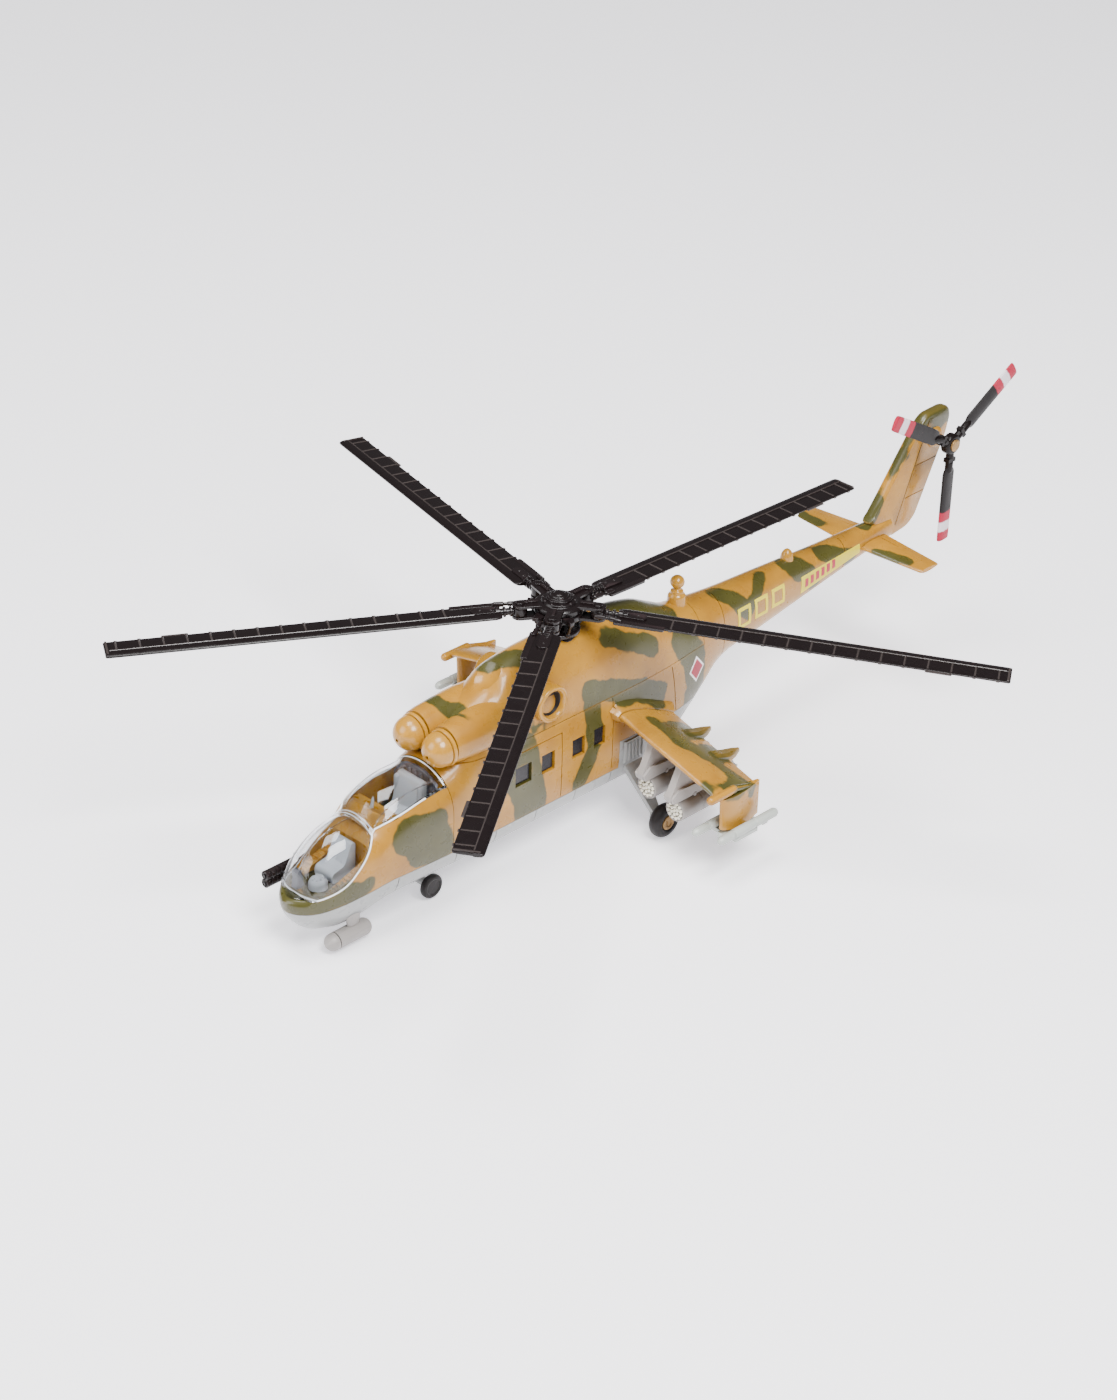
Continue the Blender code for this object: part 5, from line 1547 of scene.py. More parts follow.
@dataclass(frozen=True)
class Tail:
    """Fin, stabilisers and tail rotor."""

    outline: tuple[Flat, ...] = ((119.6, 42.9), (121.0, 44.0), (125.0, 48.9), (139.8, 68.0), (142.0, 69.5),
        (149.6, 69.8), (151.6, 68.8), (152.1, 66.8), (150.8, 61.8), (139.6, 38.6), (136.6, 36.3),
        (130.0, 35.4))
    layers: tuple[Flat, ...] = ((-1.75, 0.075), (-1.62, 0.045), (-1.3, 0.018), (-0.6, 0.0), (0.6, 0.0),
        (1.3, 0.018), (1.62, 0.045), (1.75, 0.075))
    centre: Flat = (139.0, 54.0)
    rotor_x: float = 7.6
    radius: float = 30.0
    chord: float = 4.6
    angles: tuple[float, ...] = (30.4, 150.4, 270.4)

    def build_fin(self) -> None:
        """Fin with rounded edges, a rudder line and the rotor boss."""
        closed = rounded((self.outline[-1],) + self.outline + (self.outline[0],), 1.1)[1:-1]
        rings = [[(x, y + inset * (self.centre[0] - y), z + inset * (self.centre[1] - z)) for y, z in closed]
            for x, inset in self.layers]
        fin = loft(rings).cut(FORM.form(-0.1, 104.0, 129.0))
        hinge = prism("X", ((142.3, 67.6), (142.6, 67.6), (131.2, 39.0), (130.9, 39.0)), 1.58, 3.0)
        bars = hinge
        for z in (46.0, 55.0):
            y = 131.0 + 0.4 * (z - 39.0)
            bars = bars + prism("X", ((y + 0.5, z), (y + 9.6, z + 0.2), (y + 9.6, z + 0.5),
                (y + 0.5, z + 0.3)), 1.6, 3.0)
        fin = fin.cut(bars, bars.mirrored())
        y, z = standing(joint("tail_rotor_spin")["pos_m"]).yz
        boss = lathe("X", (0.0, y, z), rounded(((0.9, 3.3), (1.9, 3.1), (3.0, 2.3), (3.02, 1.0),
            (0.9, 0.95)), 0.4))
        add_piece("painted_fin", fin, CAMOUFLAGE, Body.AIRFRAME, ("tail_fin",))
        add_piece("gearbox_boss", boss, CAMOUFLAGE, Body.AIRFRAME)

    def build_stabilisers(self) -> None:
        """Both tailplanes with a hinge line."""
        root = airfoil((114.0, 38.3), (125.8, 38.3), 2.2, 0.0, 12)
        tip = airfoil((117.4, 37.2), (125.0, 37.2), 1.3, 0.0, 12)
        rows = [(share, 1.0) for share in np.linspace(0.0, 0.96, 14)] + [(0.985, 0.96), (1.0, 0.88)]
        rings = []
        for share, size in rows:
            middle = (121.2, 37.2)
            ring = []
            for (y0, z0), (y1, z1) in zip(root, tip):
                y, z = y0 + share * (y1 - y0), z0 + share * (z1 - z0)
                ring.append((1.0 + 21.6 * share, middle[0] + size * (y - middle[0]),
                    middle[1] + size * (z - middle[1]) + (1.0 - size) * 0.4))
            rings.append(ring)
        plane = loft(rings).cut(FORM.form(-0.1, 104.0, 129.0), room(x=(-FAR, 1.9)))
        plane = plane.cut(box((4.0, 122.4, 38.55), (21.6, 122.65, 42.0)))
        for side in Side:
            add_piece("tailplane_" + side.tag, plane.on(side), CAMOUFLAGE, Body.AIRFRAME,
                ("stabiliser_" + side.tag,))

    def blade(self) -> Shape:
        """One tail blade along +Y from the rotor axis.

        Returns:
            The blade with its arm.
        """
        half = 0.5 * self.chord
        section = [(0.0, -1.0), (0.36, -0.92), (0.56, -0.6), (0.6, -0.2), (0.5, 0.4), (0.3, 0.95),
            (0.0, 1.0), (-0.3, 0.95), (-0.5, 0.4), (-0.6, -0.2), (-0.56, -0.6), (-0.36, -0.92)]
        rows = ((7.2, 0.5), (8.0, 0.86), (9.0, 1.0)) + tuple((y, 1.0) for y in np.linspace(11.0, 28.0, 12))
        rows += ((29.4, 0.98), (29.85, 0.93), (self.radius, 0.8))
        blade = loft([[(x * (0.95 if size > 0.9 else 0.8), y, z * half * size) for x, z in section] for y,
            size in rows])
        arm = rod((0.0, 2.2, 0.0), (0.0, 8.8, 0.0), 1.15, 20,
            ((0.0, 1.0), (0.3, 1.0), (0.32, 0.75), (0.5, 0.75), (0.52, 1.0), (0.9, 1.0), (1.0, 0.7)))
        return blade + arm + box((-0.95, 4.2, -1.5), (0.95, 5.4, 1.5))

    def build_rotor(self) -> None:
        """Three banded blades, hub, shaft and brass cap."""
        y, z = standing(joint("tail_rotor_spin")["pos_m"]).yz
        seat = Matrix.Translation((self.rotor_x, y, z))
        hub = lathe("X", (0.0, 0.0, 0.0), rounded(((-1.7, 1.0), (-1.6, 2.2), (-1.2, 3.0), (0.8, 3.0),
            (1.3, 2.5), (1.35, 0.6)), 0.3))
        shape = hub.turned(seat)
        for angle in self.angles:
            shape = shape + self.blade().turned(seat @ Matrix.Rotation(math.radians(angle), 4, "X"))
        item = add_piece("tail_blades", shape, BANDED, Body.TAIL_ROTOR, ("tail_rotor",), 0.0)
        places = np.array([(point.y - y, point.z - z) for point in shape.points])
        set_values(item.data, "tip_share", np.linalg.norm(places, axis=1) / self.radius)
        cap = lathe("X", (self.rotor_x, y, z), rounded(((1.36, 1.7), (1.8, 1.75), (2.0, 1.4), (2.02, 0.3)),
            0.2))
        add_piece("brass_cap", cap, GOLD, Body.TAIL_ROTOR, ("tail_rotor_cap",))
        shaft = lathe("X", (0.0, y, z), rounded(((-0.6, 0.7), (3.2, 0.7), (3.3, 1.3), (4.2, 1.3), (4.3, 0.8),
            (self.rotor_x - 1.5, 0.8)), 0.1), 24)
        add_piece("tail_shaft", shaft, ROTOR_BLACK, Body.TAIL_ROTOR, ("tail_rotor_shaft",))

    def build(self) -> None:
        """Build the tail."""
        self.build_fin()
        self.build_stabilisers()
        self.build_rotor()


# ---------------------------------------------------------------- wings and stores

def airfoil(lead: Flat, trail: Flat, thickness: float, grow: float = 0.0, points: int = 14) -> list[Flat]:
    """Outline of a wing section.

    Args:
        lead: Leading edge, in y and z.
        trail: Trailing edge.
        thickness: Greatest thickness, roughly.
        grow: How far the outline is pushed out.
        points: Points on each face.

    Returns:
        The outline, nose first.
    """
    start, end = Vector(lead), Vector(trail)
    along = (end - start).normalized()
    aside = Vector((-along.y, along.x))
    if aside.y < 0.0:
        aside = -aside
    upper, lower = [], []
    for step in range(points + 1):
        share = 1.0 - math.cos(0.5 * math.pi * step / points)
        half = 0.5 * thickness * (2.6 * math.sqrt(share) * (1.0 - share) + 0.22 * share) + grow
        place = start + along * (share * (end - start).length)
        if step == 0:
            upper.append(tuple(place - along * grow))
            continue
        if step == points:
            place = place + along * grow
        upper.append(tuple(place + aside * half))
        lower.append(tuple(place - aside * half))
    return upper + lower[::-1]


@dataclass(frozen=True)
class Wing:
    """Port stub wing, which starboard mirrors, with everything under it."""

    root_x: float = 14.0
    tip_x: float = 48.2
    pylons: tuple[tuple[str, float], ...] = (("inner", 24.0), ("outer", 34.0))
    pod_radius: float = 3.15
    pod_front: float = 8.8
    pod_length: float = 24.0
    pod_drop: float = 14.2
    plate_x: float = 47.9
    missiles: tuple[tuple[str, float, float, float], ...] = (("inboard", 44.6, 4.2, 24.5),
        ("outboard", 51.6, 6.0, 27.6))
    missile_z: float = 13.2
    missile_radius: float = 1.25

    def edges(self, x: float) -> tuple[Flat, Flat, float]:
        """Leading edge, trailing edge and share of the span at x."""
        share = (x - 13.0) / 35.0
        return (8.6 - 1.5 * share, 32.2 - 7.5 * share), (29.0 - 4.6 * share, 24.8 - 4.5 * share), share

    def section(self, x: float, grow: float = 0.0) -> list[Place]:
        """Section of the wing at x."""
        lead, trail, share = self.edges(x)
        return [(x, y, z) for y, z in airfoil(lead, trail, 3.4 - 0.9 * share, grow)]

    def plane(self, x: float, y: float) -> float:
        """Height of the chord plane at x and y."""
        (lead_y, lead_z), (trail_y, trail_z), _ = self.edges(x)
        return lead_z + (y - lead_y) / (trail_y - lead_y) * (trail_z - lead_z)

    def fairing(self, x: float) -> Shape:
        """Pointed fairing over a pylon.

        Args:
            x: The pylon's x.

        Returns:
            A closed shape.
        """
        ridge = self.plane(x, 21.0) + 1.5
        rows = ((18.3, 0.3, ridge - 0.9, 1.0), (20.0, 1.2, ridge - 0.7, 1.4), (22.4, 2.2, ridge - 0.5, 1.9),
            (24.5, 2.35, ridge - 1.1, 2.1), (26.6, 2.2, ridge - 1.8, 2.2), (29.6, 1.5, ridge - 2.4, 1.6),
            (32.2, 0.35, ridge - 3.0, 0.9))
        return loft([[(x - half, y, z - tall), (x - 0.92 * half, y, z - 0.35 * tall), (x - 0.5 * half, y, z),
            (x + 0.5 * half, y, z), (x + 0.92 * half, y, z - 0.35 * tall), (x + half, y, z - tall)] for y,
            half, z, tall in rows])

    def build_wing(self, side: Side) -> None:
        """Wing with fairings, end plate and tip bulb.

        The solver refuses the wing's panel lines, so fused() leaves them out.

        Args:
            side: Port or starboard.
        """
        stations = [self.root_x + share * (self.tip_x - self.root_x) for share in np.linspace(0.0, 1.0, 20)]
        wing = loft([self.section(float(x)) for x in stations])
        for _, x in self.pylons:
            wing = wing.joined(self.fairing(x))
        plate = loft([[(x, y, z) for y, x in airfoil((10.2 + lean, self.plate_x), (24.4, self.plate_x), 3.0)]
            for z, lean in ((12.4, 0.5), (14.0, 0.42), (16.0, 0.32), (18.0, 0.22), (20.0, 0.1),
            (22.4, 0.0))])
        plate = plate.cut(prism("X", rounded(((5.0, 14.6), (11.0, 13.2), (16.0, 12.4), (30.0, 12.6),
            (30.0, 5.0), (5.0, 5.0)), 1.0), 40.0, 60.0))
        bead = rod((48.2, 14.0, 23.9), (48.2, 24.0, 21.4), 0.75, 20,
            ((0.0, 1.3), (0.5, 1.0), (0.96, 0.8), (1.0, 0.3)))
        wing = wing.joined(plate, pill("Y", (48.3, 0.0, 23.9), 5.0, 15.4, 1.15), bead)
        line = prism("Z", ((17.0, 24.6), (44.0, 21.2), (44.0, 21.42), (17.0, 24.82)), 20.0, 40.0)
        under = loft([self.section(float(x), -0.22) for x in (13.0, 49.0)])
        lines = line + prism("Z", ((43.0, 9.2), (43.25, 9.2), (43.25, 21.3), (43.0, 21.3)), 20.0, 40.0)
        wing = wing.cut(lines.cut(under).kept(room(z=(21.0, FAR))))
        add_piece("painted_wing_" + side.tag, wing.on(side), CAMOUFLAGE, Body.AIRFRAME,
            ("wing_" + side.tag,))

    def build_pod(self, side: Side, place: str, x: float) -> None:
        """Rocket pod with rings, tubes, rocket noses and its pylon.

        Args:
            side: Port or starboard.
            place: inner or outer.
            x: The pod's x.
        """
        z = self.plane(x, self.pod_front) - self.pod_drop
        radius = self.pod_radius
        profile = rounded(((0.55, 0.4), (0.5, radius - 0.55), (0.0, radius - 0.42), (0.0, radius - 0.1),
            (0.5, radius), (7.4, radius), (7.5, radius - 0.16), (7.8, radius - 0.16), (7.9, radius),
            (13.0, radius), (13.1, radius - 0.16), (13.4, radius - 0.16), (13.5, radius), (16.0, radius),
            (19.0, 0.93 * radius), (21.5, 0.78 * radius), (23.4, 0.58 * radius),
            (self.pod_length, 0.5 * radius), (self.pod_length, 0.3)), 0.12, 2)
        pod = lathe("Y", (x, self.pod_front, z), profile)
        add_piece(place + "_pod_" + side.tag, pod.on(side), STORE_GREY, Body.AIRFRAME,
            (place + "_rocket_pod_" + side.tag,))
        heads = []
        rings = ((1, 0.0), (6, 1.08), (12, 2.16))
        for count, reach in rings:
            for step in range(count):
                turn = 2.0 * math.pi * (step + 0.5) / count
                heads.append(ball((x + reach * math.cos(turn), self.pod_front + 0.12,
                    z + reach * math.sin(turn)), 0.5, 12))
        add_piece(place + "_rockets_" + side.tag, gather(heads).on(side), ROCKET_CREAM, Body.AIRFRAME)
        dress_node(place + "_pylon_" + side.tag, STORE_GREY, 0.22)
        foot = z + radius
        straps = gather(box((x - 1.9, y, foot - 0.15), (x + 1.9, y + 0.8, foot + 0.9)) for y in (14.0, 22.5))
        add_piece(place + "_straps_" + side.tag, straps.on(side), STORE_GREY, Body.AIRFRAME, (),
            0.15)

    def build_missile(self, side: Side, place: str, x: float, start: float, end: float) -> None:
        """One missile with its ring groove, feet and fins.

        Args:
            side: Port or starboard.
            place: inboard or outboard.
            x: The missile's x.
            start: Its nose, as y.
            end: Its tail, as y.
        """
        big, z = self.missile_radius, self.missile_z
        profile = rounded(((start, 0.25), (start + 0.25, 0.8), (start + 1.2, 1.18), (start + 5.0, 1.18),
            (start + 5.1, 0.95), (start + 5.5, 0.95), (start + 5.6, big), (start + 13.0, big),
            (start + 13.1, big - 0.12), (start + 13.4, big - 0.12), (start + 13.5, big), (end - 0.8, big),
            (end, 0.85), (end, 0.3)), 0.12, 2)
        missile = lathe("Y", (x, 0.0, z), profile, 32)
        for y in (start + 7.5, end - 6.0):
            missile = missile + prism("X", ((y, z - 0.8), (y + 3.0, z - 0.8), (y + 2.4, z - 1.75),
                (y + 0.6, z - 1.75)), x - 0.45, x + 0.45)
        add_piece(place + "_round_" + side.tag, missile.on(side), PALE_GREY, Body.AIRFRAME,
            (place + "_missile_" + side.tag,), 0.0)

    def build(self) -> None:
        """Build both wings and their stores."""
        for side in Side:
            self.build_wing(side)
            for place, x in self.pylons:
                self.build_pod(side, place, x)
            dress_node("missile_rail_" + side.tag, PALE_GREY, 0.2)
            for place, x, start, end in self.missiles:
                self.build_missile(side, place, x, start, end)


# ---------------------------------------------------------------- landing gear and gun

@dataclass(frozen=True)
class Undercarriage:
    """Wheels, struts, gun and chin pod."""

    main_radius: float = 4.8
    main_width: float = 3.8
    hub_radius: float = 2.1
    nose_radius: float = 3.3
    nose_width: float = 2.0

    def build_main(self, side: Side) -> None:
        """One main wheel with its gold hub, and its strut.

        Args:
            side: Port or starboard.
        """
        body = "main_wheel_" + side.tag
        x, y, z = standing(joint(body + "_spin")["pos_m"])
        half = 0.5 * self.main_width
        radius = self.main_radius
        profile = rounded(((-half + 0.4, self.hub_radius + 0.12), (-half, 2.7), (-half, 3.4),
            (-0.75 * half, 4.3), (-0.3 * half, radius - 0.06), (0.3 * half, radius - 0.06),
            (0.75 * half, 4.3), (half, 3.4), (half, 2.7), (half - 0.4, self.hub_radius + 0.12)), 0.5, 4)
        rings = [(along, size) for along, size in profile] + [profile[0]]
        tyre = lathe("X", (x, y, z), rings, 56)
        tyre = Shape(tyre.points, tyre.faces[:-2])
        add_piece("tyre_" + side.tag, tyre, TYRE_BLACK, body, ("main_tyre_" + side.tag,))
        sign = side.value
        face = sign * (half + 0.05)
        hub = lathe("X", (x, y, z), rounded(((-face * 0.96, 0.72), (-face * 0.97, self.hub_radius),
            (face * 0.9, self.hub_radius), (face, 1.8), (face, 1.25), (face * 0.82, 1.0), (face * 0.8, 0.2)),
            0.15), 40)
        for step in range(5):
            turn = 2.0 * math.pi * step / 5
            hub = hub + ball((x + face, y + 1.55 * math.cos(turn), z + 1.55 * math.sin(turn)), 0.14, 10)
        slot = box((x + 0.7 * face, y - 0.42, z - 1.15), (x + 1.3 * face, y + 0.42, z + 1.15))
        hub = hub + slot.kept(room(x=(min(x + 0.7 * face, x + 0.88 * face),
            max(x + 0.7 * face, x + 0.88 * face))))
        add_piece("hub_" + side.tag, hub, GOLD, body, ("main_hub_" + side.tag,))
        dress_node("main_strut_" + side.tag, BELLY_GREY, 0.16)

    def build_nose(self) -> None:
        """Both nose wheels and their strut."""
        half = 0.5 * self.nose_width
        for side in Side:
            body = "nose_wheel_" + side.tag
            x, y, z = standing(joint(body + "_spin")["pos_m"])
            sign = side.value
            wheel = lathe("X", (x, y, z), rounded(((-sign * half, 0.8), (-sign * half, 2.7),
                (-sign * 0.6 * half, self.nose_radius - 0.03), (sign * 0.6 * half, self.nose_radius - 0.03),
                (sign * half, 2.8), (sign * half, 2.2), (sign * 0.86 * half, 2.05),
                (sign * 0.9 * half, 0.2)), 0.3, 4), 56)
            add_piece("small_wheel_" + side.tag, wheel, TYRE_BLACK, body,
                ("nose_wheel_" + side.tag,))
        dress_node("nose_strut", BELLY_GREY, 0.2)

    def build_gun(self) -> None:
        """Black twin gun on the starboard cheek.

        The solver refuses the trim against the nose, so the gun runs on inside the shell.
        """
        gun = prism("Y", rounded(((-12.9, 14.0), (-12.9, 11.6), (-10.4, 11.6), (-10.4, 16.8), (-12.9, 16.8),
            (-12.9, 14.2)), 0.4), -78.0, -58.0)
        for z in (15.3, 13.1):
            profile = [(-88.6, 0.35), (-88.2, 0.45), (-88.6, 0.95), (-88.4, 1.25)]
            for step in range(6):
                y = -87.4 + 1.5 * step
                profile += [(y, 1.25), (y + 0.1, 1.08), (y + 0.4, 1.08), (y + 0.5, 1.25)]
            profile += [(-60.0, 1.25)]
            gun = gun + lathe("Y", (-11.4, 0.0, z), profile, 28)
        add_piece("gun_barrels", gun.cut(FORM.form(-0.05, -91.0, -40.0)), ROTOR_BLACK, Body.AIRFRAME,
            ("twin_gun",))

    def build_chin(self) -> None:
        """Grey chin pod on its short neck."""
        pod = pill("Y", (7.2, 0.0, 2.7), -85.2, -71.0, 2.3, 48)
        neck = loft([[(7.2 + width * math.cos(turn), -76.4 + long * math.sin(turn), z)
            for turn in np.linspace(0.0, 2.0 * math.pi, 24, endpoint=False)] for z, width,
            long in ((3.0, 0.7, 1.7), (4.6, 0.7, 1.8), (6.5, 0.8, 2.2), (11.0, 1.0, 2.6))])
        pod = pod.joined(neck).cut(FORM.form(-0.08, -91.0, -40.0))
        groove = lathe("Y", (7.2, 0.0, 2.7), ((-82.3, 2.26), (-82.25, 4.0), (-82.05, 4.0), (-82.0, 2.26)),
            48)
        add_piece("chin_blister", pod.cut(groove), STORE_GREY, Body.AIRFRAME, ("chin_pod",))

    def build(self) -> None:
        """Build the gear, the gun and the pod."""
        for side in Side:
            self.build_main(side)
        self.build_nose()
        self.build_gun()
        self.build_chin()


# ---------------------------------------------------------------- main rotor

@dataclass(frozen=True)
class MainRotor:
    """Mast, head, cap and five blades."""

    labels: tuple[str, ...] = ("a", "b", "c", "d", "e")
    radius: float = 113.5
    pin_radius: float = 10.0
    root: float = 15.0
    lead: float = 3.6
    trail: float = 4.0
    thick: float = 1.1
    droop: float = 1.4
    rib_count: int = 15
    lug_in: float = 1.2
    lug_out: float = 1.9

    def hub_matrix(self) -> Matrix:
        """The rotor's own frame in the standing frame.

        Returns:
            The matrix.
        """
        axis = Vector(joint("main_rotor_spin")["axis"])
        tilt = -math.asin(axis.y)
        return Matrix.Translation(ROTOR_CENTRE) @ Matrix.Rotation(tilt, 4, "X")

    def pin_turn(self, label: str) -> float:
        """Angle of a blade's pin round the hub, in radians."""
        pin = standing(joint(f"blade_{label}_swing")["pos_m"]) - ROTOR_CENTRE
        return math.atan2(pin.y, pin.x)

    def blade_matrix(self, label: str) -> Matrix:
        """A blade's own frame in the standing frame.

        Args:
            label: The blade's letter.

        Returns:
            The matrix.
        """
        turn = self.pin_turn(label)
        pin = Matrix.Translation((self.pin_radius * math.cos(turn), self.pin_radius * math.sin(turn), 0.0))
        return (self.hub_matrix() @ pin @ Matrix.Rotation(turn, 4,
            "Z") @ Matrix.Rotation(math.radians(self.droop), 4, "Y"))

    def plank(self) -> Shape:
        """The blade itself, along +X from its swing pin.

        Returns:
            A closed shape.
        """
        tip = self.radius - self.pin_radius
        start = self.root - self.pin_radius
        half = 0.5 * self.thick
        upper = [(self.lead, 0.0), (0.97 * self.lead, 0.45 * half), (0.85 * self.lead, 0.8 * half),
            (0.6 * self.lead, half), (0.30 * self.lead, half), (0.26 * self.lead, 0.66 * half),
            (-0.5 * self.trail, 0.62 * half), (-self.trail, 0.4 * half)]
        section = upper + [(y, -z) for y, z in upper[::-1][:-1]]
        rows = ((start, 0.8), (start + 0.4, 0.9), (start + 1.6, 1.0), (40.0, 1.0), (80.0, 1.0),
            (tip - 1.0, 1.0), (tip - 0.3, 0.97), (tip, 0.9))
        return loft([[(x, y * size, z * (0.8 + 0.2 * size)) for y, z in section] for x, size in rows])

    def details(self) -> Shape:
        """Ribs, bumps, raised line, tip lip and trim tab on a blade.

        Returns:
            All of them as one shape.
        """
        tip = self.radius - self.pin_radius
        start = self.root - self.pin_radius + 14.0
        half = 0.5 * self.thick
        shape = rod((start - 9.0, 0.27 * self.lead, 0.82 * half), (tip - 1.2, 0.27 * self.lead, 0.82 * half),
            0.2, 8)
        step = (tip - start - 3.0) / (self.rib_count - 1)
        for index in range(self.rib_count):
            x = start + step * index
            for face in (1.0, -1.0):
                shape = shape + rod((x, 0.22 * self.lead, face * 0.56 * half),
                    (x, -0.9 * self.trail, face * 0.4 * half), 0.27, 8)
            shape = shape + box((x - 0.5, -self.trail - 0.32, -0.18), (x + 0.3, -self.trail + 0.3, 0.18))
        shape = shape + box((tip - 0.9, -0.92 * self.trail, -0.62 * half),
            (tip - 0.35, 0.7 * self.lead, 1.12 * half))
        tab = box((tip - 21.0, -self.trail - 0.75, -0.14), (tip - 14.5, -self.trail + 0.4, 0.14))
        return shape + tab

    def root_fitting(self) -> Shape:
        """Cuff, eye, stepped root plates and damper of a blade.

        Returns:
            All of them as one shape.
        """
        start = self.root - self.pin_radius
        eye = lathe("Z", (0.0, 0.0, 0.0), rounded(((-1.0, 1.0), (-1.0, 1.9), (1.0, 1.9), (1.0, 1.0)), 0.2),
            32)
        cuff = rod((1.4, 0.0, 0.0), (start + 2.6, 0.0, 0.0), 1.0, 24,
            ((0.0, 0.9), (0.1, 0.9), (0.12, 1.3), (0.2, 1.3), (0.22, 0.92), (0.36, 0.92), (0.38, 1.35),
            (0.46, 1.35), (0.48, 0.95), (0.6, 0.95), (0.62, 1.4), (0.8, 1.4), (0.82, 1.0), (1.0, 1.0)))
        plate = prism("Z", rounded(((start + 5.0, 1.3), (start + 0.2, 1.3), (start + 0.2, -1.6),
            (start + 6.6, -1.9), (start + 7.6, -0.8), (start + 7.0, 1.2), (start + 5.2, 1.3)), 0.6), -0.82,
            0.82)
        trailing = prism("Z", rounded(((start + 6.0, -4.7), (start - 0.4, -4.6), (start - 0.6, -3.0),
            (start + 12.6, -3.0), (start + 12.2, -4.7), (start + 6.2, -4.7)), 0.3), -0.36, 0.36)
        damper = rod((-0.4, -2.9, 0.5), (start + 1.6, -3.5, 0.4), 0.62, 18,
            ((0.0, 0.6), (0.08, 1.0), (0.4, 1.0), (0.42, 0.7), (0.55, 0.7), (0.57, 1.1), (0.9, 1.1),
            (1.0, 0.6)))
        bolts = ball((start + 2.4, 0.2, 0.75), 0.42, 14) + ball((start + 5.2, -0.2, 0.75), 0.36, 14)
        bridge = box((-0.5, -3.1, -0.4), (0.7, -1.3, 0.4))
        return eye + cuff + plate + trailing + damper + bolts + bridge

    def build_blades(self) -> None:
        """All five blades on their swing pins."""
        for label in self.labels:
            seat = self.blade_matrix(label)
            body = "blade_" + label
            add_piece("plank_" + label, self.plank().turned(seat), ROTOR_BLACK, body, (body,),
                0.12)
            # The ribs wear a lighter black as a painted highlight.
            add_piece("ribs_" + label, self.details().turned(seat), ROTOR_RIB_HIGHLIGHT, body, (), 0.0)
            add_piece("root_" + label, self.root_fitting().turned(seat), ROTOR_BLACK, body, (),
                0.1)

    def fork(self) -> Shape:
        """Two lugs, a swing pin and a pitch arm, along +X from the hub.

        Returns:
            All of them as one shape.
        """
        tip = [(self.pin_radius + 2.0 * math.cos(math.radians(lean)), 2.0 * math.sin(math.radians(lean)))
            for lean in range(-90, 91, 15)]
        outline = [(3.0, -2.6), (6.4, -2.0)] + tip + [(6.4, 2.0), (3.0, 2.6)]
        shape = prism("Z", outline, self.lug_in, self.lug_out) + prism("Z", outline, -self.lug_out,
            -self.lug_in)
        pin = lathe("Z", (self.pin_radius, 0.0, 0.0),
            rounded(((-2.3, 0.9), (-1.9, 1.0), (-1.88, 0.7), (1.9, 0.7), (1.92, 1.15), (2.4, 1.05),
            (2.5, 0.4)), 0.12), 24)
        web = box((5.4, -0.35, self.lug_out - 0.1), (9.0, 0.35, self.lug_out + 0.55))
        arm = prism("Z", rounded(((4.6, 2.0), (4.6, 4.6), (6.8, 5.2), (8.0, 4.4), (7.0, 3.4), (6.2, 1.9),
            (4.7, 1.9)), 0.3), -0.9, 0.1)
        link = rod((6.9, 4.4, -0.5), (4.4, 3.2, -5.6), 0.5, 14,
            ((0.0, 0.9), (0.06, 1.3), (0.16, 1.3), (0.2, 0.8), (0.8, 0.8), (0.84, 1.3), (0.94, 1.3),
            (1.0, 0.8)))
        return shape + pin + web + arm + link

    def build_head(self) -> None:
        """Rotor head with five forks, swashplate ring and stepped cap."""
        hub = self.hub_matrix()
        head = lathe("Z", (0.0, 0.0, 0.0), rounded(((-2.3, 2.0), (-2.2, 5.4), (-1.8, 6.2), (-0.4, 6.2),
            (-0.3, 5.7), (0.2, 5.7), (0.3, 6.2), (1.4, 6.2), (1.9, 5.6), (2.0, 4.6), (2.6, 4.4), (2.7, 3.0)),
            0.2))
        ring = lathe("Z", (0.0, 0.0, 0.0), rounded(((-5.0, 2.1), (-5.0, 5.0), (-5.3, 5.7), (-6.2, 5.7),
            (-6.4, 5.0), (-6.4, 2.1)), 0.2))
        shape = head + ring
        for label in self.labels:
            shape = shape + self.fork().turned(Matrix.Rotation(self.pin_turn(label), 4, "Z"))
        for step in range(10):
            turn = 2.0 * math.pi * step / 10
            shape = shape + ball((4.0 * math.cos(turn), 4.0 * math.sin(turn), 2.5), 0.42, 12)
        add_piece("rotor_star", shape.turned(hub), ROTOR_BLACK, Body.MAIN_ROTOR, ("rotor_head",),
            0.08)
        cap = lathe("Z", (0.0, 0.0, 0.0), rounded(((2.6, 3.4), (3.2, 3.4), (3.3, 2.9), (3.5, 2.9),
            (3.6, 2.3), (3.9, 2.2), (4.0, 1.5), (4.2, 1.3), (4.2, 0.3)), 0.15), 40)
        add_piece("stepped_cap", cap.turned(hub), ROTOR_BLACK, Body.MAIN_ROTOR, ("rotor_cap",))
        mast = lathe("Z", (0.0, 0.0, 0.0), rounded(((-16.0, 1.8), (-9.4, 1.8), (-9.2, 3.6), (-7.9, 4.6),
            (-7.6, 4.6), (-6.9, 4.2), (-6.6, 1.6), (-2.5, 1.6), (-2.4, 1.0)), 0.25), 40)
        add_piece("mast_column", mast.turned(hub), ROTOR_BLACK, Body.AIRFRAME, ("rotor_mast",))

    def build(self) -> None:
        """Build the whole rotor."""
        self.build_head()
        self.build_blades()


# ---------------------------------------------------------------- studio

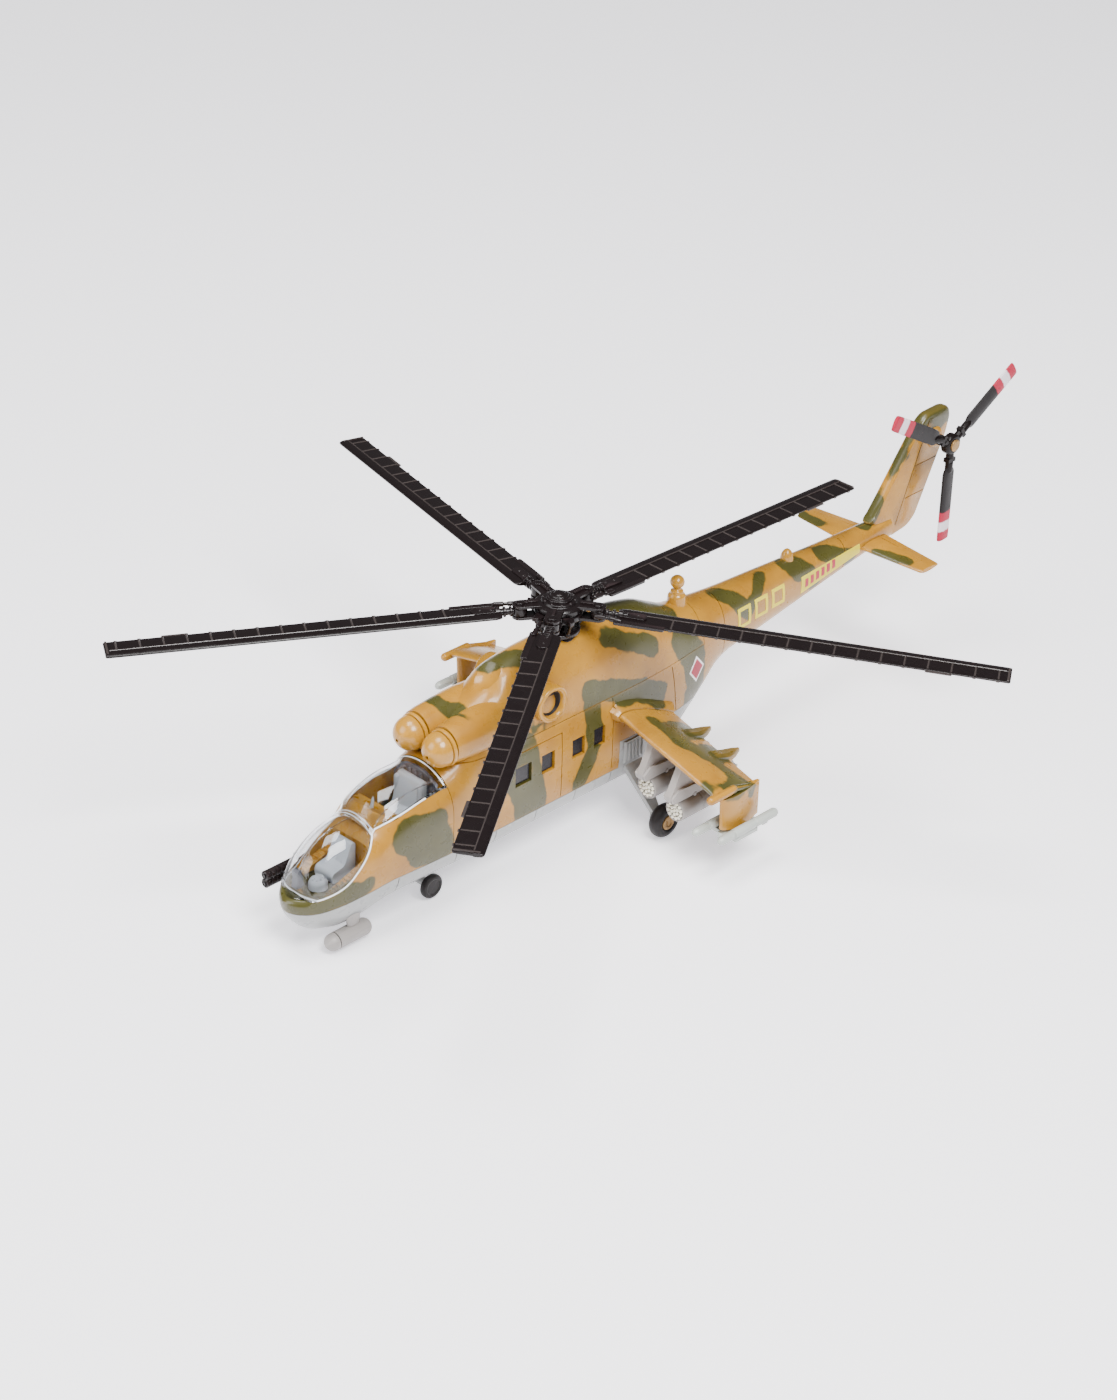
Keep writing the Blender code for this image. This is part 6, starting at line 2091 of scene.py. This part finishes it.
@dataclass(frozen=True)
class Studio:
    """Floor, soft lights and the camera."""

    azimuth: float = 44.2
    elevation: float = 30.88
    roll: float = 1.694
    target: Place = (-4.922, 5.439, 30.0)
    distance: float = 821.16
    lens: float = 82.03
    sensor: float = 36.0
    floor_colour: tuple[float, float, float] = (0.86, 0.85, 0.87)
    floor_size: float = 14.0
    floor_glow: float = 0.8
    world_light: float = 0.16

    def build_camera(self) -> None:
        """Camera at the toy's three-quarter front view."""
        turn, rise = math.radians(self.azimuth), math.radians(self.elevation)
        back = Vector((math.sin(turn) * math.cos(rise), -math.cos(turn) * math.cos(rise), math.sin(rise)))
        data = bpy.data.cameras.new("studio_camera")
        data.lens = self.lens
        data.sensor_width = self.sensor
        data.clip_start = 0.02
        data.clip_end = 20.0
        camera = bpy.data.objects.new("studio_camera", data)
        bpy.context.collection.objects.link(camera)
        right = Vector((0.0, 0.0, 1.0)).cross(back).normalized()
        up = back.cross(right)
        roll = math.radians(self.roll)
        tilted = right * math.cos(roll) + up * math.sin(roll)
        upright = up * math.cos(roll) - right * math.sin(roll)
        place = Vector(self.target) * MM + STANDING + back * self.distance * MM
        matrix = Matrix((tilted, upright, back)).transposed().to_4x4()
        camera.matrix_world = Matrix.Translation(place) @ matrix
        bpy.context.scene.camera = camera

    def build_floor(self) -> None:
        """Plain pale floor under the wheels."""
        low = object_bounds()[0].z - 0.0002
        half = self.floor_size
        points = [(x, y, low) for x, y in ((-half, -half), (half, -half), (half, half), (-half, half))]
        mesh = bpy.data.meshes.new("studio_floor")
        mesh.from_pydata(points, [], [(0, 1, 2, 3)])
        tree = Tree("studio_floor_paper")
        paper = tree.mix(tree.noise(6.0, 2.0), self.floor_colour, tone(self.floor_colour, 0.985))
        tree.link(paper, tree.shader.inputs["Base Color"])
        tree.shader.inputs["Roughness"].default_value = 0.75
        tree.shader.inputs["Emission Color"].default_value = (0.95, 0.94, 1.0, 1.0)
        tree.shader.inputs["Emission Strength"].default_value = self.floor_glow
        mesh.materials.append(tree.material)
        floor = bpy.data.objects.new("studio_floor", mesh)
        bpy.context.collection.objects.link(floor)
        floor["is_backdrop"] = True

    def add_light(self, name: str, place: Place, size: float, power: float,
            colour: tuple[float, float, float] = (1.0, 1.0, 1.0)) -> None:
        """Hang a square soft light that faces the toy.

        Args:
            name: The light's name.
            place: Where it hangs, in metres.
            size: Its edge, in metres.
            power: Its power in watts.
            colour: Its colour.
        """
        data = bpy.data.lights.new(name, "AREA")
        data.size = size
        data.energy = power
        data.color = colour
        light = bpy.data.objects.new(name, data)
        bpy.context.collection.objects.link(light)
        light.location = place
        light.rotation_mode = "QUATERNION"
        light.rotation_quaternion = (Vector((0.0, 0.02, 0.02)) - Vector(place)).to_track_quat("-Z", "Y")

    def build_lights(self) -> None:
        """Even world light with a key, a fill and a top light."""
        world = bpy.data.worlds.new("studio_world")
        world.use_nodes = True
        world.node_tree.nodes["Background"].inputs["Color"].default_value = (0.97, 0.97, 1.0, 1.0)
        world.node_tree.nodes["Background"].inputs["Strength"].default_value = self.world_light
        bpy.context.scene.world = world
        self.add_light("key_light", (0.55, -0.15, 0.85), 0.45, 20.0)
        self.add_light("fill_light", (-0.35, -0.95, 0.60), 0.7, 11.0)
        self.add_light("top_light", (-0.10, -0.10, 1.1), 0.5, 14.0)

    def build(self) -> None:
        """Set up the studio."""
        self.build_camera()
        self.build_floor()
        self.build_lights()


def main() -> None:
    """Build the toy and its studio."""
    logging.basicConfig(level=logging.INFO, format="%(name)s %(message)s")
    Studio().build()
    for assembly in (Shells(), Cockpit(), EngineDeck(), Tail(), Wing(), Undercarriage(), MainRotor()):
        LOG.info("building %s", type(assembly).__name__)
        assembly.build()


if __name__ == "__main__":
    main()
